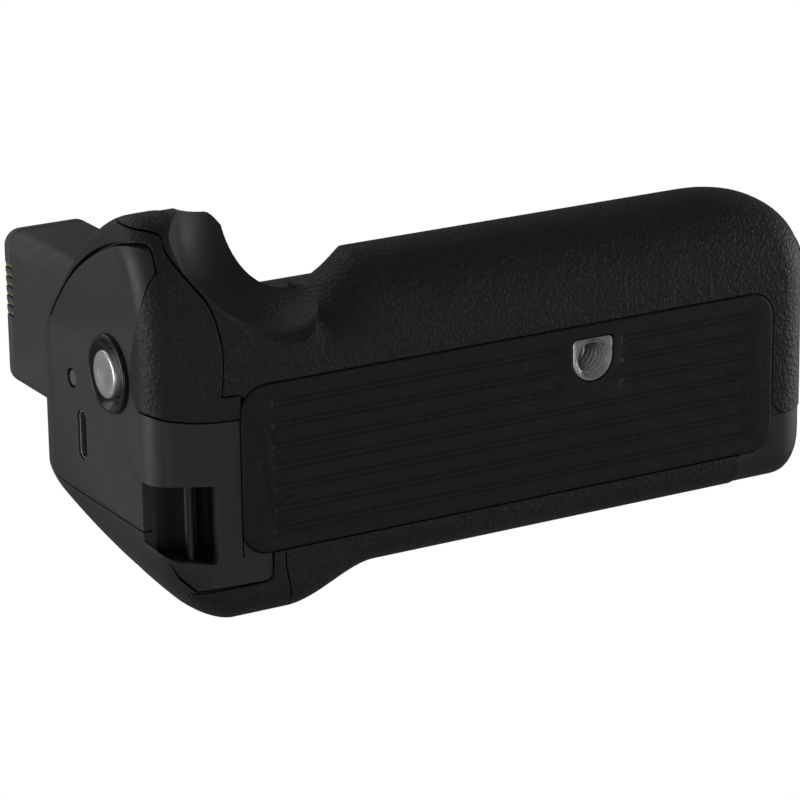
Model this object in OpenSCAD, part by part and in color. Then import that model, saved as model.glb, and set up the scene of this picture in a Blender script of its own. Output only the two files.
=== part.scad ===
// Camera battery grip: screws to the base of a camera, carries two batteries in a drawer
// and repeats the shutter button for upright pictures.
// Frame: millimetres, origin at the mouth of the tripod socket, +X to the shutter end,
// +Y to the front of the camera, +Z up to the camera.

/* [Body] */
// Distance from the tripod socket to the shutter end
right_reach = 89; // [86:0.5:98]
// Distance from the tripod socket to the battery drawer end
left_reach = 50; // [48:0.5:58]
// Height of the body from the base to the camera
body_height = 43; // [43:0.5:50]
// Distance from the tripod socket back to the rear wall
rear_reach = 31.5; // [31:0.5:36]
// Distance from the tripod socket forward to the upper front wall
upper_front = 11; // [11:0.5:14]
// Distance forward to the long finger bulge
bulge_front = 24.5; // [22:0.5:30]
// Distance forward to the valley between the bulge and the hump
valley_front = 17; // [16:0.5:20]
// Distance forward to the hump at the shutter end
hump_front = 36; // [33:0.5:40]
// Distance forward to the hump's edge at the camera
hump_top_front = 17; // [17:0.5:20]
// How far the thumb rest stands out of the rear wall
thumb_depth = 5.5; // [0:0.5:8]
// Height of the widest line of the front
crest_height = 13; // [11:0.5:16]
// Height where the finger bulge meets the upper front wall
band_height = 30; // [26:0.5:34]
// Thickness of the housing walls
wall = 2.6; // [2.2:0.1:3]
// Thickness of the top plate
plate_t = 2.4; // [2:0.1:3]
// Height of the housing's underside over the pad's face
foot = 0.4; // [0.2:0.1:0.8]

/* [Rubber] */
// Thickness of the rubber skins
skin_t = 1.2; // [0.8:0.1:1.4]
// Width of the bottom pad
pad_d = 31; // [26:0.5:33]
// Thickness of the bottom pad
pad_t = 1.6; // [1.2:0.1:2]
// Corner radius of the bottom pad
pad_r = 5; // [2:0.5:8]
// Number of grooves along the pad
groove_count = 7; // [3:1:9]
// Width of a pad groove
groove_w = 1; // [0.6:0.1:1.6]
// Depth of a pad groove
groove_deep = 0.5; // [0.2:0.1:0.8]
// Radius of the finger scoop beside the hump
scoop_r = 20; // [18:0.5:21]

/* [Tripod socket and attachment] */
// Radius of the quarter inch tripod thread
thread_r = 3.175; // [3:0.025:5]
// Depth of the tripod thread
socket_deep = 7.5; // [5:0.5:8]
// Height of the attachment screw over the top plate
stud_reach = 5.5; // [4:0.5:7]
// Radius of the attachment thumbwheel
wheel_r = 13.4; // [13:0.1:15]
// Thickness of the attachment thumbwheel
wheel_t = 4.4; // [3:0.1:4.6]

/* [Battery drawer and stalk] */
// Length of one battery bay
bay_l = 45.3; // [42:0.1:46]
// Width of one battery bay
bay_w = 32.2; // [28:0.1:32.2]
// Thickness of the stalk that fits the camera's battery room
stalk_w = 18; // [14:0.5:19]
// Width of the stalk
stalk_d = 30.7; // [26:0.1:32]
// Height of the stalk over the top plate
stalk_h = 48.5; // [36:0.5:56]

/* [Controls] */
// Radius of the shutter button
button_r = 4.3; // [3.5:0.1:4.6]
// Travel of the shutter button
button_travel = 0.8; // [0.4:0.1:0.8]
// Radius of the raised collar round the shutter button
collar_r = 7.1; // [6.5:0.1:7.5]
// Height of the collar over the end panel
collar_h = 1.1; // [1:0.1:2.5]
// Radius of the drawer's lock knob
knob_r = 6.7; // [5:0.1:7]
// How far the lock knob stands out of the end
knob_h = 5; // [3:0.1:7]

/* [Fits] */
// Gap between two skins or panels that meet
seam = 0.3; // [0.2:0.05:0.5]
// Gap between fixed pieces that are assembled
fit = 0.1; // [0.05:0.05:0.2]
// Radial clearance of a turning or sliding shaft
running = 0.05; // [0.02:0.01:0.08]
// Gap beside a sliding drawer
slide_gap = 0.3; // [0.2:0.05:0.5]

/* [Hidden] */
$fn = 64;
slop = 1;
far = 150;

// Ends and levels of the body
right_end = right_reach;
left_end = -left_reach;
plate_z = body_height - plate_t;
floor_z = foot + wall;
part_y = -18;

// Rounding of the body's ends
dome_round = 5;
end_base_round = 4;
top_corner_along = 10;
top_corner_across = 9;
rear_corner_along = 16;
rear_corner_across = 16;
rear_corner_power = 1.5;
round_power = 2;
left_corner_along = 22;
left_corner_across = 12;
left_band_round = 5;
left_base_round = 8;
left_rear_round = 7;
rear_edge_round = 6;
least_round = 0.5;
least_band = 1;

// Places along the length where the front changes
bulge_full = right_end - 46;
bulge_foot = right_end - 32;
hump_foot = right_end - 37;
hump_full = right_end - 24;
thumb_foot = right_end - 45;
thumb_full = right_end - 27;
base_front = 8;

// Steps of the body's form
end_steps = 7;
straight_steps = 2;
wave_steps = 10;
lower_steps = 5;
upper_steps = 5;
rear_steps = 3;
edge_steps = 4;
lower_power = 2.2;
upper_power = 1.7;

// Bottom pad, seams and skins
pad_end_inset = 17;
pad_tail_inset = 10;
pad_right = right_end - pad_end_inset;
pad_left = left_end + pad_tail_inset;
pad_w = pad_right - pad_left;
pad_x = (pad_right + pad_left) / 2;
pad_y = -9;
pad_front = pad_y + pad_d / 2;
pad_rear = pad_y - pad_d / 2;
groove_inset = 6;
wrap_y = 0.4;
short_seam = 1;
skew = 2.3;
grip_seam = [[right_end - 13.5, pad_front - short_seam], [right_end - 14, 14], [right_end - 13.2, 19.2],
  [right_end - 9.4, 25.6], [right_end - 6.8, 30.5], [right_end - 6.8, far]];
end_skin_z = 7.5;
end_skin_x = 1.5;
skin_below = 2;
rim_run = 3;
skin_rim = [[right_end - 40, 25], [right_end - 36, 19], [right_end - 32, 15], [right_end - 19, 13.5],
  [right_end - 14, 14.5], [right_end - 10.5, 18]];
rear_skin_inset = 7;
rear_skin_z = 26;
thumb_split = right_end - 22.5;
split_gap = 1.5;
thumb_skin_inset = 7;
panel_rim = 5.3;
panel_back = 3.8;
panel_centre = [6, 20];
panel_rim_points = [[hump_top_front - 7.5, body_height + slop], [hump_top_front - 7, body_height - 1.5],
  [hump_top_front - 1.2, body_height - 5.3], [hump_front - 14, body_height - 12.1],
  [hump_front - 8.3, crest_height + 9.4], [hump_front - 4.7, crest_height + 1.2],
  [hump_front - 3.4, crest_height - 4.5], [hump_front - 4.1, crest_height - 7.6],
  [hump_front - 7, crest_height - 8.6], [hump_front - 15.5, crest_height - 8.2],
  [hump_front - 23.5, crest_height - 5.8], [5.5, crest_height - 5.8], [3, crest_height - 8.2],
  [3, panel_rim], [part_y - 2 * slop, panel_rim], [part_y - 2 * slop, body_height + slop]];

// Finger scoop
scoop_x = right_end - 29;
scoop_back = 2.5;
scoop_z = 6;

// Strap loop
strap_left = right_end - 11.3;
strap_front = -8.7;
strap_rear = -24.3;
strap_end_rear = -18.1;
strap_bend = 7;
strap_wall = 1.2;
strap_deep = 9;
strap_mouth = 5;
strap_bar_r = 0.95;
strap_bar_x = right_end - 7.9;
strap_bar_z = 3.2;

// Tripod socket
plate_half = 4.3;
plate_front = 3.9;
socket_border = 1.6;
boss_r = 5.4;
flange_r = 9;
flange_t = 1.8;

// Battery drawer and the frame round it
drawer_y = -10.1;
bay_side = 0.7;
bay_wall = 0.8;
drawer_end_t = 3.7;
drawer_floor = 1.2;
drawer_low = 11.9;
drawer_left = left_end + 3.7;
drawer_right = drawer_left + drawer_end_t + 2 * (bay_l + bay_wall);
drawer_rear = drawer_y - bay_w / 2 - bay_side;
drawer_front = drawer_y + bay_w / 2 + bay_side;
chamber_wall = 1;
contact_room = 1.2;
cam_x = drawer_left + 0.4;
cam_t = 1.6;
chamber_left = cam_x + cam_t + 2 * slide_gap;
chamber_right = drawer_right + contact_room + chamber_wall;
chamber_rear = drawer_rear - slide_gap - chamber_wall;
chamber_front = drawer_front + slide_gap + chamber_wall;
chamber_low = drawer_low - slide_gap - chamber_wall;
wheel_gap = 0.6;
chamber_high = plate_z - wheel_t - 2 * wheel_gap;
drawer_h = chamber_high - chamber_wall - slide_gap - drawer_low;
contact_t = 0.4;
leaf_pitch = 8;
leaf_w = 3;
leaf_low = drawer_low + 8.1;
leaf_high = leaf_low + 6;
leaf_reach = 0.5;
leaf_tail = 1.5;
cap_rear = -27.9;
cap_front = 13.4;
cap_low = drawer_low - 0.5;
cap_high = chamber_high + 1.4;
cap_screw_low = drawer_low + 3.6;
cap_screw_high = drawer_low + drawer_h - 3.7;
cap_screw_places = [[-22, cap_screw_low], [-22, cap_screw_high], [-8, cap_screw_high]];
cap_screw_grip = 2.4;

// Drawer lock
knob_y = 6;
knob_z = 18;
shaft_r = 2.5;
cam_l = 9.2;
cam_w = 6.4;
knob_slot_w = 1.6;
knob_slot_deep = 1.2;

// Screws
screw_r = 1.2;
screw_head_r = 2.2;
screw_head_t = 1.2;
screw_seat_z = pad_t + 2 * fit;
floor_post_z = 4.6;
floor_post_r = 3.2;
frame_post_r = 2.6;
base_screw_places = [[-34, -21.5], [-34, 1], [44, -21.5], [44, 1]];
top_screw_places = [[-30, -22], [-30, 2], [32, -22], [32, 2]];
small_r = 0.9;
small_head_r = 1.7;
small_head_t = 1;

// Attachment wheel, pin and cushion
wheel_z = chamber_high + wheel_gap;
wheel_slot_w = 2 * sqrt(pow(wheel_r, 2) - pow(upper_front - wall, 2)) + 4 * slide_gap;
hub_r = 5;
knurl_count = 36;
knurl_r = 0.8;
knurl_out = 0.3;
bush_r = 5;
shank_r = 2.6;
pin_x = -18;
pin_y = -1;
pin_r = 1.5;
pin_root_r = 1.9;
pin_h = 2.5;
cushion_x = 4;
cushion_y = -10.5;
cushion_w = 88;
cushion_d = 36;
cushion_r = 4;
cushion_z = body_height - 1;
cushion_proud = 0.3;
cushion_top = body_height + cushion_proud;
top_head_t = 0.7;

// Stalk
stalk_x = right_end - 23;
stalk_y = -1.05;
stalk_round = 3.2;
stalk_wall = 1.8;
stalk_flange = 1.6;
stalk_low = plate_z - 2.8;
stalk_top = body_height + stalk_h;
stalk_cap_t = 3;
plug_l = 3;
slot_count = 6;
slot_pitch = 1.9;
slot_w = 1.1;
slot_deep = 1.5;
slot_l = 4;
slot_y = -2;
contact_w = 0.7;
contact_set_in = 0.4;

// Boards
board_t = 1.6;
board_z = 14;
board_left = chamber_right + 3.2;
board_right = right_end - 14;
board_rear = -26;
board_front = 6;
board_post_r = 2;
board_posts = [[board_left + 3, -14], [board_left + 3, 3], [right_end - 17, 3]];
board_screw_l = 5;
end_board_x = right_end - 11;
end_board_rear = -13;
end_board_front = 14.5;
end_board_low = 10.8;
end_board_high = plate_z - 4.6;
end_posts = [[-10, plate_z - 7.6], [13, plate_z - 7.6]];
end_screw_grip = 3.5;

// Shutter button
button_y = 8;
button_z = 15.8;
neck_r = collar_r - 0.9;
guide_x = right_end - 3.4;
guide_t = 1.6;
head_x = right_end - 0.6;
head_proud = 0.2;
stem_x = right_end - 5.4;
stem_r = 2.25;
dish_deep = 1.4;
dish_inner_r = button_r + 0.6;
dish_outer_r = collar_r - 0.7;
clip_t = 0.8;
clip_r = 3.6;
switch_w = 4.4;
switch_t = 2.4;
plunger_r = 1.6;

// Charging socket and lamp
recess = 0.3;
usb_y = -6.8;
usb_z = body_height - 14.5;
usb_w = 9;
usb_h = 3.2;
usb_wall = 0.3;
usb_back = 1.2;
usb_set_in = 1;
tongue_w = 6.7;
tongue_h = 0.7;
led_y = 2.8;
led_z = body_height - 11;
led_t = 0.9;
pipe_r = 1.4;

function ease(a, b, x) = let (t = min(1, max(0, (x - a) / (b - a)))) t * t * (3 - 2 * t);

// Fall of a rounded corner at a distance from the end
function drop(e, along, across, power = round_power) =
  e >= along ? 0 : across * (1 - pow(max(0, 1 - pow((along - max(e, 0)) / along, power)), 1 / power));

function shrunk(r, d) = max(r - d, least_round);
function hump_share(x) = ease(hump_foot, hump_full, x);
function bulge_share(x) = 1 - ease(bulge_full, bulge_foot, x);
function thumb_share(x) = ease(thumb_foot, thumb_full, x);
function from_right(x, d) = right_end - d - x;
function from_left(x, d) = x - left_end - d;

function crest_y(x, d) = valley_front
  + (hump_front - valley_front) * hump_share(x)
  + (bulge_front - valley_front) * bulge_share(x) - d
  - drop(from_right(x, d), shrunk(dome_round, d), shrunk(dome_round, d))
  - drop(from_left(x, d), shrunk(left_corner_along, d), shrunk(left_corner_across, d));

function top_y(x, d) = upper_front + (hump_top_front - upper_front) * hump_share(x) - d
  - drop(from_right(x, d), shrunk(top_corner_along, d), shrunk(top_corner_across, d))
  - drop(from_left(x, d), shrunk(left_band_round, d), shrunk(left_band_round, d));

function base_z(x, d) = foot + d
  + drop(from_right(x, d), shrunk(end_base_round, d), shrunk(end_base_round, d))
  + drop(from_left(x, d), shrunk(left_base_round, d), shrunk(left_base_round, d));

function rear_y(x, z, d) = -rear_reach
  - thumb_depth * thumb_share(x) * (1 - pow(min(z, body_height) / body_height, 2)) + d
  + drop(from_right(x, d), shrunk(rear_corner_along, d), shrunk(rear_corner_across, d), rear_corner_power)
  + drop(from_left(x, d), shrunk(left_rear_round, d), shrunk(left_rear_round, d));

// Outline of the body across its length, set in by d
function section(x, d) = let (
  yc = crest_y(x, d),
  yt = top_y(x, d),
  z0 = base_z(x, d),
  zb = band_height + (body_height - least_band - band_height) * hump_share(x),
  z1 = body_height + d,
  r = shrunk(rear_edge_round, d))
  concat(
    [for (k = [0 : lower_steps]) let (a = 90 * k / lower_steps)
      [base_front + (yc - base_front) * pow(sin(a), 2 / lower_power),
       crest_height - (crest_height - z0) * pow(cos(a), 2 / lower_power)]],
    [for (k = [1 : upper_steps]) let (u = k / upper_steps)
      [yc - (yc - yt) * pow(u, upper_power), crest_height + (zb - crest_height) * u]],
    [[yt, z1]],
    [for (k = [0 : rear_steps - 1]) let (z = z1 + (z0 + r - z1) * k / rear_steps)
      [rear_y(x, z, d), z]],
    [for (k = [0 : edge_steps]) let (a = 90 * k / edge_steps)
      [rear_y(x, z0 + r, d) + r * (1 - cos(a)), z0 + r * (1 - sin(a))]]);

function stations(d) = concat(
  [for (k = [0 : end_steps]) left_end + d + (left_corner_along - d) * (1 - cos(90 * k / end_steps))],
  [for (k = [1 : straight_steps])
    left_end + left_corner_along + (bulge_full - left_end - left_corner_along) * k / straight_steps],
  [for (k = [1 : wave_steps])
    bulge_full + (right_end - rear_corner_along - bulge_full) * k / wave_steps],
  [for (k = [1 : end_steps])
    right_end - rear_corner_along + (rear_corner_along - d) * sin(90 * k / end_steps)]);

// The whole body as one closed form, set in by d
module body_form(d) {
  xs = stations(d);
  rows = len(xs);
  outlines = [for (x = xs) section(x, d)];
  side = len(outlines[0]);
  rims = [for (i = [0 : rows - 1]) for (p = outlines[i]) [xs[i], p[0], p[1]]];
  near_hub = rows * side;
  far_hub = near_hub + 1;
  points = concat(rims, [[xs[0], 0, body_height / 2], [xs[rows - 1], 0, body_height / 2]]);
  skin = [for (i = [0 : rows - 2]) for (j = [0 : side - 1])
    let (a = i * side + j, b = i * side + (j + 1) % side)
    each [[a, a + side, b + side], [a, b + side, b]]];
  near_cap = [for (j = [0 : side - 1]) [near_hub, j, (j + 1) % side]];
  far_cap = [for (j = [0 : side - 1])
    [far_hub, (rows - 1) * side + (j + 1) % side, (rows - 1) * side + j]];
  polyhedron(points = points, faces = concat(skin, near_cap, far_cap), convexity = 8);
}

// Finger scoop on the valley side of the hump
module scoop(more) {
  translate([scoop_x, hump_front - scoop_back, scoop_z])
    sphere(r = scoop_r + more);
}

// The body with its finger scoop, set in by d
module grip_form(d) {
  difference() {
    body_form(d);
    scoop(d);
  }
}

// Small shapes
module block(x0, x1, y0, y1, z0, z1) {
  translate([x0, y0, z0])
    cube([x1 - x0, y1 - y0, z1 - z0]);
}

module post(x, y, z0, z1, r) {
  translate([x, y, z0])
    cylinder(r = r, h = z1 - z0);
}

module rod_x(x0, x1, y, z, r) {
  translate([x0, y, z])
    rotate([0, 90, 0])
      cylinder(r = r, h = x1 - x0);
}

module round_rect(w, d, r) {
  square([w, d - 2 * r], center = true);
  square([w - 2 * r, d], center = true);
  for (sx = [-1, 1]) {
    for (sy = [-1, 1]) {
      translate([sx * (w / 2 - r), sy * (d / 2 - r)])
        circle(r = r);
    }
  }
}

// Outlines of the rubber and of the end panel
module plan_prism(outline) {
  translate([0, 0, -far])
    linear_extrude(height = 2 * far)
      polygon(outline);
}

module side_prism(outline) {
  rotate([90, 0, 0])
    translate([0, 0, -far])
      linear_extrude(height = 2 * far)
        polygon(outline);
}

module pad_space(g) {
  translate([pad_x, pad_y, -slop])
    linear_extrude(height = pad_t + fit + slop)
      round_rect(pad_w + 2 * g, pad_d + 2 * g, pad_r + g);
}

function shifted(line, g) = [for (p = line) [p[0] + g, p[1]]];

// Points moved away from a centre by g
function grown(points, centre, g) = [for (p = points) p + g * (p - centre) / norm(p - centre)];

function corner_outline(g) = concat(
  [[far, wrap_y + g], [pad_right + seam, wrap_y + g], [pad_right + seam, pad_front - short_seam - 2 * g]],
  shifted(grip_seam, g),
  [[far, far]]);

function front_outline(g) = concat(
  shifted(grip_seam, -g),
  [[-far, far], [-far, part_y + g], [pad_left - skew, part_y + g], [pad_left, part_y + skew + g],
   [pad_left + pad_r, pad_front - pad_r], [pad_right - pad_r, pad_front - pad_r],
   [pad_right + seam, pad_front - short_seam]]);

function front_profile(g) = concat(
  [[-far, -far], [-far, end_skin_z - g], [left_end + end_skin_x, end_skin_z - g],
   [left_end + left_corner_along / 2, band_height - skin_below - g],
   [skin_rim[0][0] - rim_run, band_height - skin_below - g]],
  [for (p = skin_rim) [p[0], p[1] - g]],
  [[skin_rim[len(skin_rim) - 1][0], body_height], [far, body_height], [far, -far]]);

// Outline of the corner skin and the front skin together
pocket_outline = [[far, wrap_y], [far, far], [-far, far], [-far, part_y], [pad_left - skew, part_y],
  [pad_left, part_y + skew], [pad_left + pad_r, pad_front - pad_r], [pad_right - pad_r, pad_front - pad_r],
  [pad_right + seam, wrap_y]];

module corner_region(g) {
  difference() {
    plan_prism(corner_outline(g));
    panel_region(seam / 2);
  }
}

module front_region(g) {
  intersection() {
    plan_prism(front_outline(g));
    side_prism(front_profile(g));
  }
}

module rear_region(g) {
  block(pad_left + rear_skin_inset + g, thumb_split - split_gap - g, -far, pad_rear - seam,
    -far, rear_skin_z - g);
}

module thumb_region(g) {
  block(thumb_split + g, right_end - thumb_skin_inset - g, -far, strap_rear - strap_wall - seam,
    -far, rear_skin_z - g);
}

// Room that the end panel takes out of the housing, grown by g
module panel_region(g) {
  intersection() {
    translate([right_end - panel_back - g, 0, 0])
      rotate([90, 0, 90])
        linear_extrude(height = far)
          polygon(grown(panel_rim_points, panel_centre, g));
    block(0, far, part_y - g, far, -far, far);
  }
  block(pad_right + seam / 2 - g, far, part_y - g, wrap_y - seam / 2 + g, -far, panel_rim + slop);
}

module skin_piece(depth) {
  difference() {
    grip_form(0);
    grip_form(depth);
    pad_space(seam);
  }
}

// Pockets in the housing for the rubber skins
module front_pocket() {
  difference() {
    intersection() {
      plan_prism(pocket_outline);
      side_prism(front_profile(0));
    }
    grip_form(skin_t + fit);
  }
}

module rear_pocket() {
  difference() {
    union() {
      rear_region(0);
      thumb_region(0);
    }
    grip_form(skin_t + fit);
  }
}

// Room for the strap loop at the corner of the shutter end
function strap_outline(g) = [[strap_left - g, strap_front + g], [right_end + 2 * slop, strap_front + g],
  [right_end + 2 * slop, strap_end_rear - g], [right_end - strap_bend, strap_rear - g],
  [strap_left - g, strap_rear - g]];

module strap_space(g, top) {
  translate([0, 0, -far])
    linear_extrude(height = far + top)
      polygon(strap_outline(g));
}

// Everything the strap pocket takes out of the housing
module strap_cut() {
  intersection() {
    strap_space(strap_wall + fit, strap_deep + strap_wall + fit);
    block(-far, right_end - wall, -far, far, -far, far);
  }
  strap_space(0, strap_mouth);
}

module drawer_mouth(g) {
  block(left_end - far, drawer_left + slide_gap, cap_rear - g, cap_front + g, cap_low - g, cap_high + g);
}

// Housing
module shell_shared() {
  grip_form(wall);
  pad_space(fit);
  panel_region(seam / 2);
  drawer_mouth(seam);
  strap_cut();
  for (p = base_screw_places) {
    post(p[0], p[1], -slop, screw_seat_z + screw_head_t + fit, screw_head_r + fit);
  }
}

module floor_posts(side) {
  difference() {
    for (p = base_screw_places) {
      if ((p[1] > part_y) == side) {
        post(p[0], p[1], floor_z - slop, floor_post_z, floor_post_r);
      }
    }
    for (p = base_screw_places) {
      post(p[0], p[1], -slop, screw_seat_z + screw_head_t + fit, screw_head_r + fit);
      post(p[0], p[1], -slop, body_height, screw_r + fit);
    }
  }
}

module front_shell() {
  color("#2b2b2d")
    difference() {
      union() {
        difference() {
          intersection() {
            grip_form(0);
            block(-far, far, part_y + fit / 2, far, -far, plate_z - fit);
          }
          front_pocket();
          shell_shared();
        }
        floor_posts(true);
        for (p = board_posts) {
          post(p[0], p[1], floor_z - slop / 2, board_z - fit, board_post_r);
        }
      }
      post(0, 0, -slop, floor_z + slop, boss_r + fit);
      block(right_end - panel_back - slop, far, -far, part_y + 2 * slop, panel_rim, far);
      for (p = base_screw_places) {
        post(p[0], p[1], -slop, floor_post_z + slop, screw_r + fit);
      }
      for (p = board_posts) {
        post(p[0], p[1], board_z - board_screw_l, board_z, small_r + fit);
      }
      block(-wheel_slot_w / 2, wheel_slot_w / 2, 0, far, wheel_z - slide_gap, plate_z);
      rod_x(cam_x - slide_gap, cam_x + cam_t + slide_gap, knob_y, knob_z, cam_l + slide_gap);
    }
}

module rear_shell() {
  color("#2b2b2d")
    difference() {
      union() {
        difference() {
          intersection() {
            grip_form(0);
            block(-far, far, -far, part_y - fit / 2, -far, plate_z - fit);
          }
          rear_pocket();
          shell_shared();
        }
        floor_posts(false);
      }
      for (p = base_screw_places) {
        post(p[0], p[1], -slop, floor_post_z + slop, screw_r + fit);
      }
    }
}

module top_plate() {
  color("#38383a")
    difference() {
      intersection() {
        grip_form(0);
        block(-far, far, -far, far, plate_z, body_height + slop);
      }
      translate([stalk_x, stalk_y, plate_z - slop])
        linear_extrude(height = plate_t + 2 * slop)
          round_rect(stalk_w + 2 * fit, stalk_d + 2 * fit, stalk_round + fit);
      cushion_space(fit);
      post(0, 0, plate_z - slop, body_height + slop, bush_r + fit);
      post(pin_x, pin_y, plate_z - slop, body_height + slop, pin_root_r + fit);
      for (p = top_screw_places) {
        post(p[0], p[1], plate_z - slop, body_height, screw_r + fit);
        post(p[0], p[1], cushion_z - top_head_t - fit, body_height, screw_head_r + fit);
      }
    }
}

module end_panel() {
  color("#3a3a3c")
    difference() {
      union() {
        difference() {
          intersection() {
            grip_form(0);
            panel_region(-seam / 2);
            block(-far, far, part_y + fit / 2, far, -far, plate_z - fit);
          }
          grip_form(wall);
          pad_space(seam);
        }
        for (p = end_posts) {
          rod_x(end_board_x + board_t + fit, right_end - wall + slop / 2, p[0], p[1], board_post_r);
        }
      }
      strap_cut();
      rod_x(0, far, button_y, button_z, neck_r + fit);
      rod_x(right_end - wall - slop, far, led_y, led_z, pipe_r + fit);
      translate([right_end - wall - slop, usb_y, usb_z])
        usb_prism(wall + 2 * slop, usb_w + 2 * fit, usb_h + 2 * fit);
      for (p = end_posts) {
        rod_x(0, end_board_x + board_t + end_screw_grip, p[0], p[1], small_r + fit);
      }
    }
}

// Rubber skins
module corner_grip() {
  color("#1f1f20")
    intersection() {
      skin_piece(skin_t);
      corner_region(seam / 2);
      side_prism(front_profile(seam / 2));
      block(-far, far, -far, far, -far, plate_z - fit);
    }
}

module front_grip() {
  color("#1f1f20")
    difference() {
      intersection() {
        skin_piece(skin_t);
        front_region(seam / 2);
        block(-far, far, -far, far, -far, plate_z - fit);
      }
      drawer_mouth(seam);
    }
}

module rear_grip() {
  color("#1f1f20")
    intersection() {
      skin_piece(skin_t);
      rear_region(seam / 2);
    }
}

module thumb_grip() {
  color("#1f1f20")
    intersection() {
      skin_piece(skin_t);
      thumb_region(seam / 2);
    }
}

// Bottom pad with its long grooves
module bottom_pad() {
  color("#161617")
    difference() {
      translate([pad_x, pad_y, 0])
        linear_extrude(height = pad_t)
          round_rect(pad_w - 2 * fit, pad_d - 2 * fit, pad_r);
      for (k = [1 : groove_count]) {
        groove_y = pad_y - pad_d / 2 + pad_d * k / (groove_count + 1);
        block(pad_left + groove_inset, pad_right - groove_inset, groove_y - groove_w / 2,
          groove_y + groove_w / 2, -slop, groove_deep);
      }
      translate([0, 0, -slop])
        linear_extrude(height = pad_t + 2 * slop)
          socket_outline(fit);
    }
  color("#161617")
    difference() {
      linear_extrude(height = pad_t)
        socket_outline(socket_border);
      translate([0, 0, -slop])
        linear_extrude(height = pad_t + 2 * slop)
          socket_outline(fit);
    }
}

// Round to the rear and square to the front
module socket_outline(g) {
  circle(r = plate_half + g);
  translate([-plate_half - g, 0])
    square([2 * (plate_half + g), plate_front + g]);
}

module tripod_socket() {
  color("#c8c8cc")
    difference() {
      union() {
        linear_extrude(height = pad_t + fit)
          socket_outline(0);
        post(0, 0, pad_t, floor_z + fit, boss_r);
        post(0, 0, floor_z + fit, floor_z + fit + flange_t, flange_r);
        post(0, 0, floor_z + fit, chamber_low - fit, boss_r);
      }
      post(0, 0, -slop, socket_deep, thread_r);
    }
}

// Strap loop
module strap_pocket() {
  color("#303032")
    difference() {
      intersection() {
        grip_form(0);
        strap_space(strap_wall, strap_deep + strap_wall);
        block(-far, right_end - wall - fit, -far, far, -far, far);
      }
      strap_space(0, strap_deep);
      strap_rod(strap_bar_r + running);
    }
}

module strap_rod(r) {
  translate([strap_bar_x, strap_rear - strap_wall / 2, strap_bar_z])
    rotate([-90, 0, 0])
      cylinder(r = r, h = strap_front - strap_rear + strap_wall);
}

module strap_bar() {
  color("#8a8a8e")
    strap_rod(strap_bar_r);
}

// Shutter button
module shutter_collar() {
  color("#19191a")
    difference() {
      union() {
        rod_x(right_end + fit, right_end + collar_h, button_y, button_z, collar_r);
        rod_x(guide_x, right_end + fit, button_y, button_z, neck_r);
      }
      rod_x(guide_x - slop, far, button_y, button_z, stem_r + running);
      rod_x(guide_x + guide_t, far, button_y, button_z, button_r + running);
      translate([right_end + collar_h - dish_deep, button_y, button_z])
        rotate([0, 90, 0])
          cylinder(r1 = dish_inner_r, r2 = dish_outer_r, h = dish_deep);
    }
}

module shutter_button() {
  color("#d5d5d8")
    union() {
      rod_x(head_x, right_end + collar_h + head_proud, button_y, button_z, button_r);
      rod_x(stem_x, head_x + fit, button_y, button_z, stem_r);
    }
}

module shutter_clip() {
  color("#9a9a9e")
    difference() {
      rod_x(guide_x - slide_gap - clip_t, guide_x - slide_gap, button_y, button_z, clip_r);
      rod_x(0, far, button_y, button_z, stem_r + fit / 2);
    }
}

module shutter_switch() {
  color("#4a4a4c")
    translate([end_board_x + board_t, button_y, button_z])
      translate([0, -switch_w / 2, -switch_w / 2])
        cube([switch_t, switch_w, switch_w]);
  color("#b89030")
    rod_x(end_board_x + board_t + switch_t, stem_x - button_travel - fit, button_y, button_z, plunger_r);
}

// Charging socket and lamp
module usb_prism(l, w, h) {
  rotate([90, 0, 90])
    linear_extrude(height = l)
      round_rect(w, h, h / 2 - fit);
}

module usb_shell() {
  color("#b4b4b8")
    translate([end_board_x + board_t, usb_y, usb_z])
      difference() {
        usb_prism(right_end - recess - end_board_x - board_t, usb_w, usb_h);
        translate([usb_back, 0, 0])
          usb_prism(far, usb_w - 2 * usb_wall, usb_h - 2 * usb_wall);
      }
}

module usb_tongue() {
  color("#1c1c1d")
    block(end_board_x + board_t + usb_back, right_end - recess - usb_set_in, usb_y - tongue_w / 2,
      usb_y + tongue_w / 2, usb_z - tongue_h / 2, usb_z + tongue_h / 2);
}

module charge_led() {
  color("#e6e2c8")
    block(end_board_x + board_t, end_board_x + board_t + led_t, led_y - pipe_r, led_y + pipe_r,
      led_z - pipe_r, led_z + pipe_r);
}

module light_pipe() {
  color("#8d9494")
    rod_x(end_board_x + board_t + led_t + fit, right_end - recess, led_y, led_z, pipe_r);
}

// Circuit boards and their screws
module end_board() {
  color("#1f5a35")
    difference() {
      block(end_board_x, end_board_x + board_t, end_board_rear, end_board_front,
        end_board_low, end_board_high);
      for (p = end_posts) {
        rod_x(0, far, p[0], p[1], small_r + fit);
      }
    }
}

module main_board() {
  color("#1f5a35")
    difference() {
      block(board_left, board_right, board_rear, board_front, board_z, board_z + board_t);
      for (p = board_posts) {
        post(p[0], p[1], 0, far, small_r + fit);
      }
    }
}

module board_screws() {
  color("#a8a8ac")
    for (p = board_posts) {
      post(p[0], p[1], board_z - board_screw_l + fit, board_z + board_t + fit, small_r);
      post(p[0], p[1], board_z + board_t + fit, board_z + board_t + fit + small_head_t, small_head_r);
    }
}

module end_board_screws() {
  color("#a8a8ac")
    for (p = end_posts) {
      rod_x(end_board_x - fit, end_board_x + board_t + end_screw_grip - fit, p[0], p[1], small_r);
      rod_x(end_board_x - fit - small_head_t, end_board_x - fit, p[0], p[1], small_head_r);
    }
}

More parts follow.
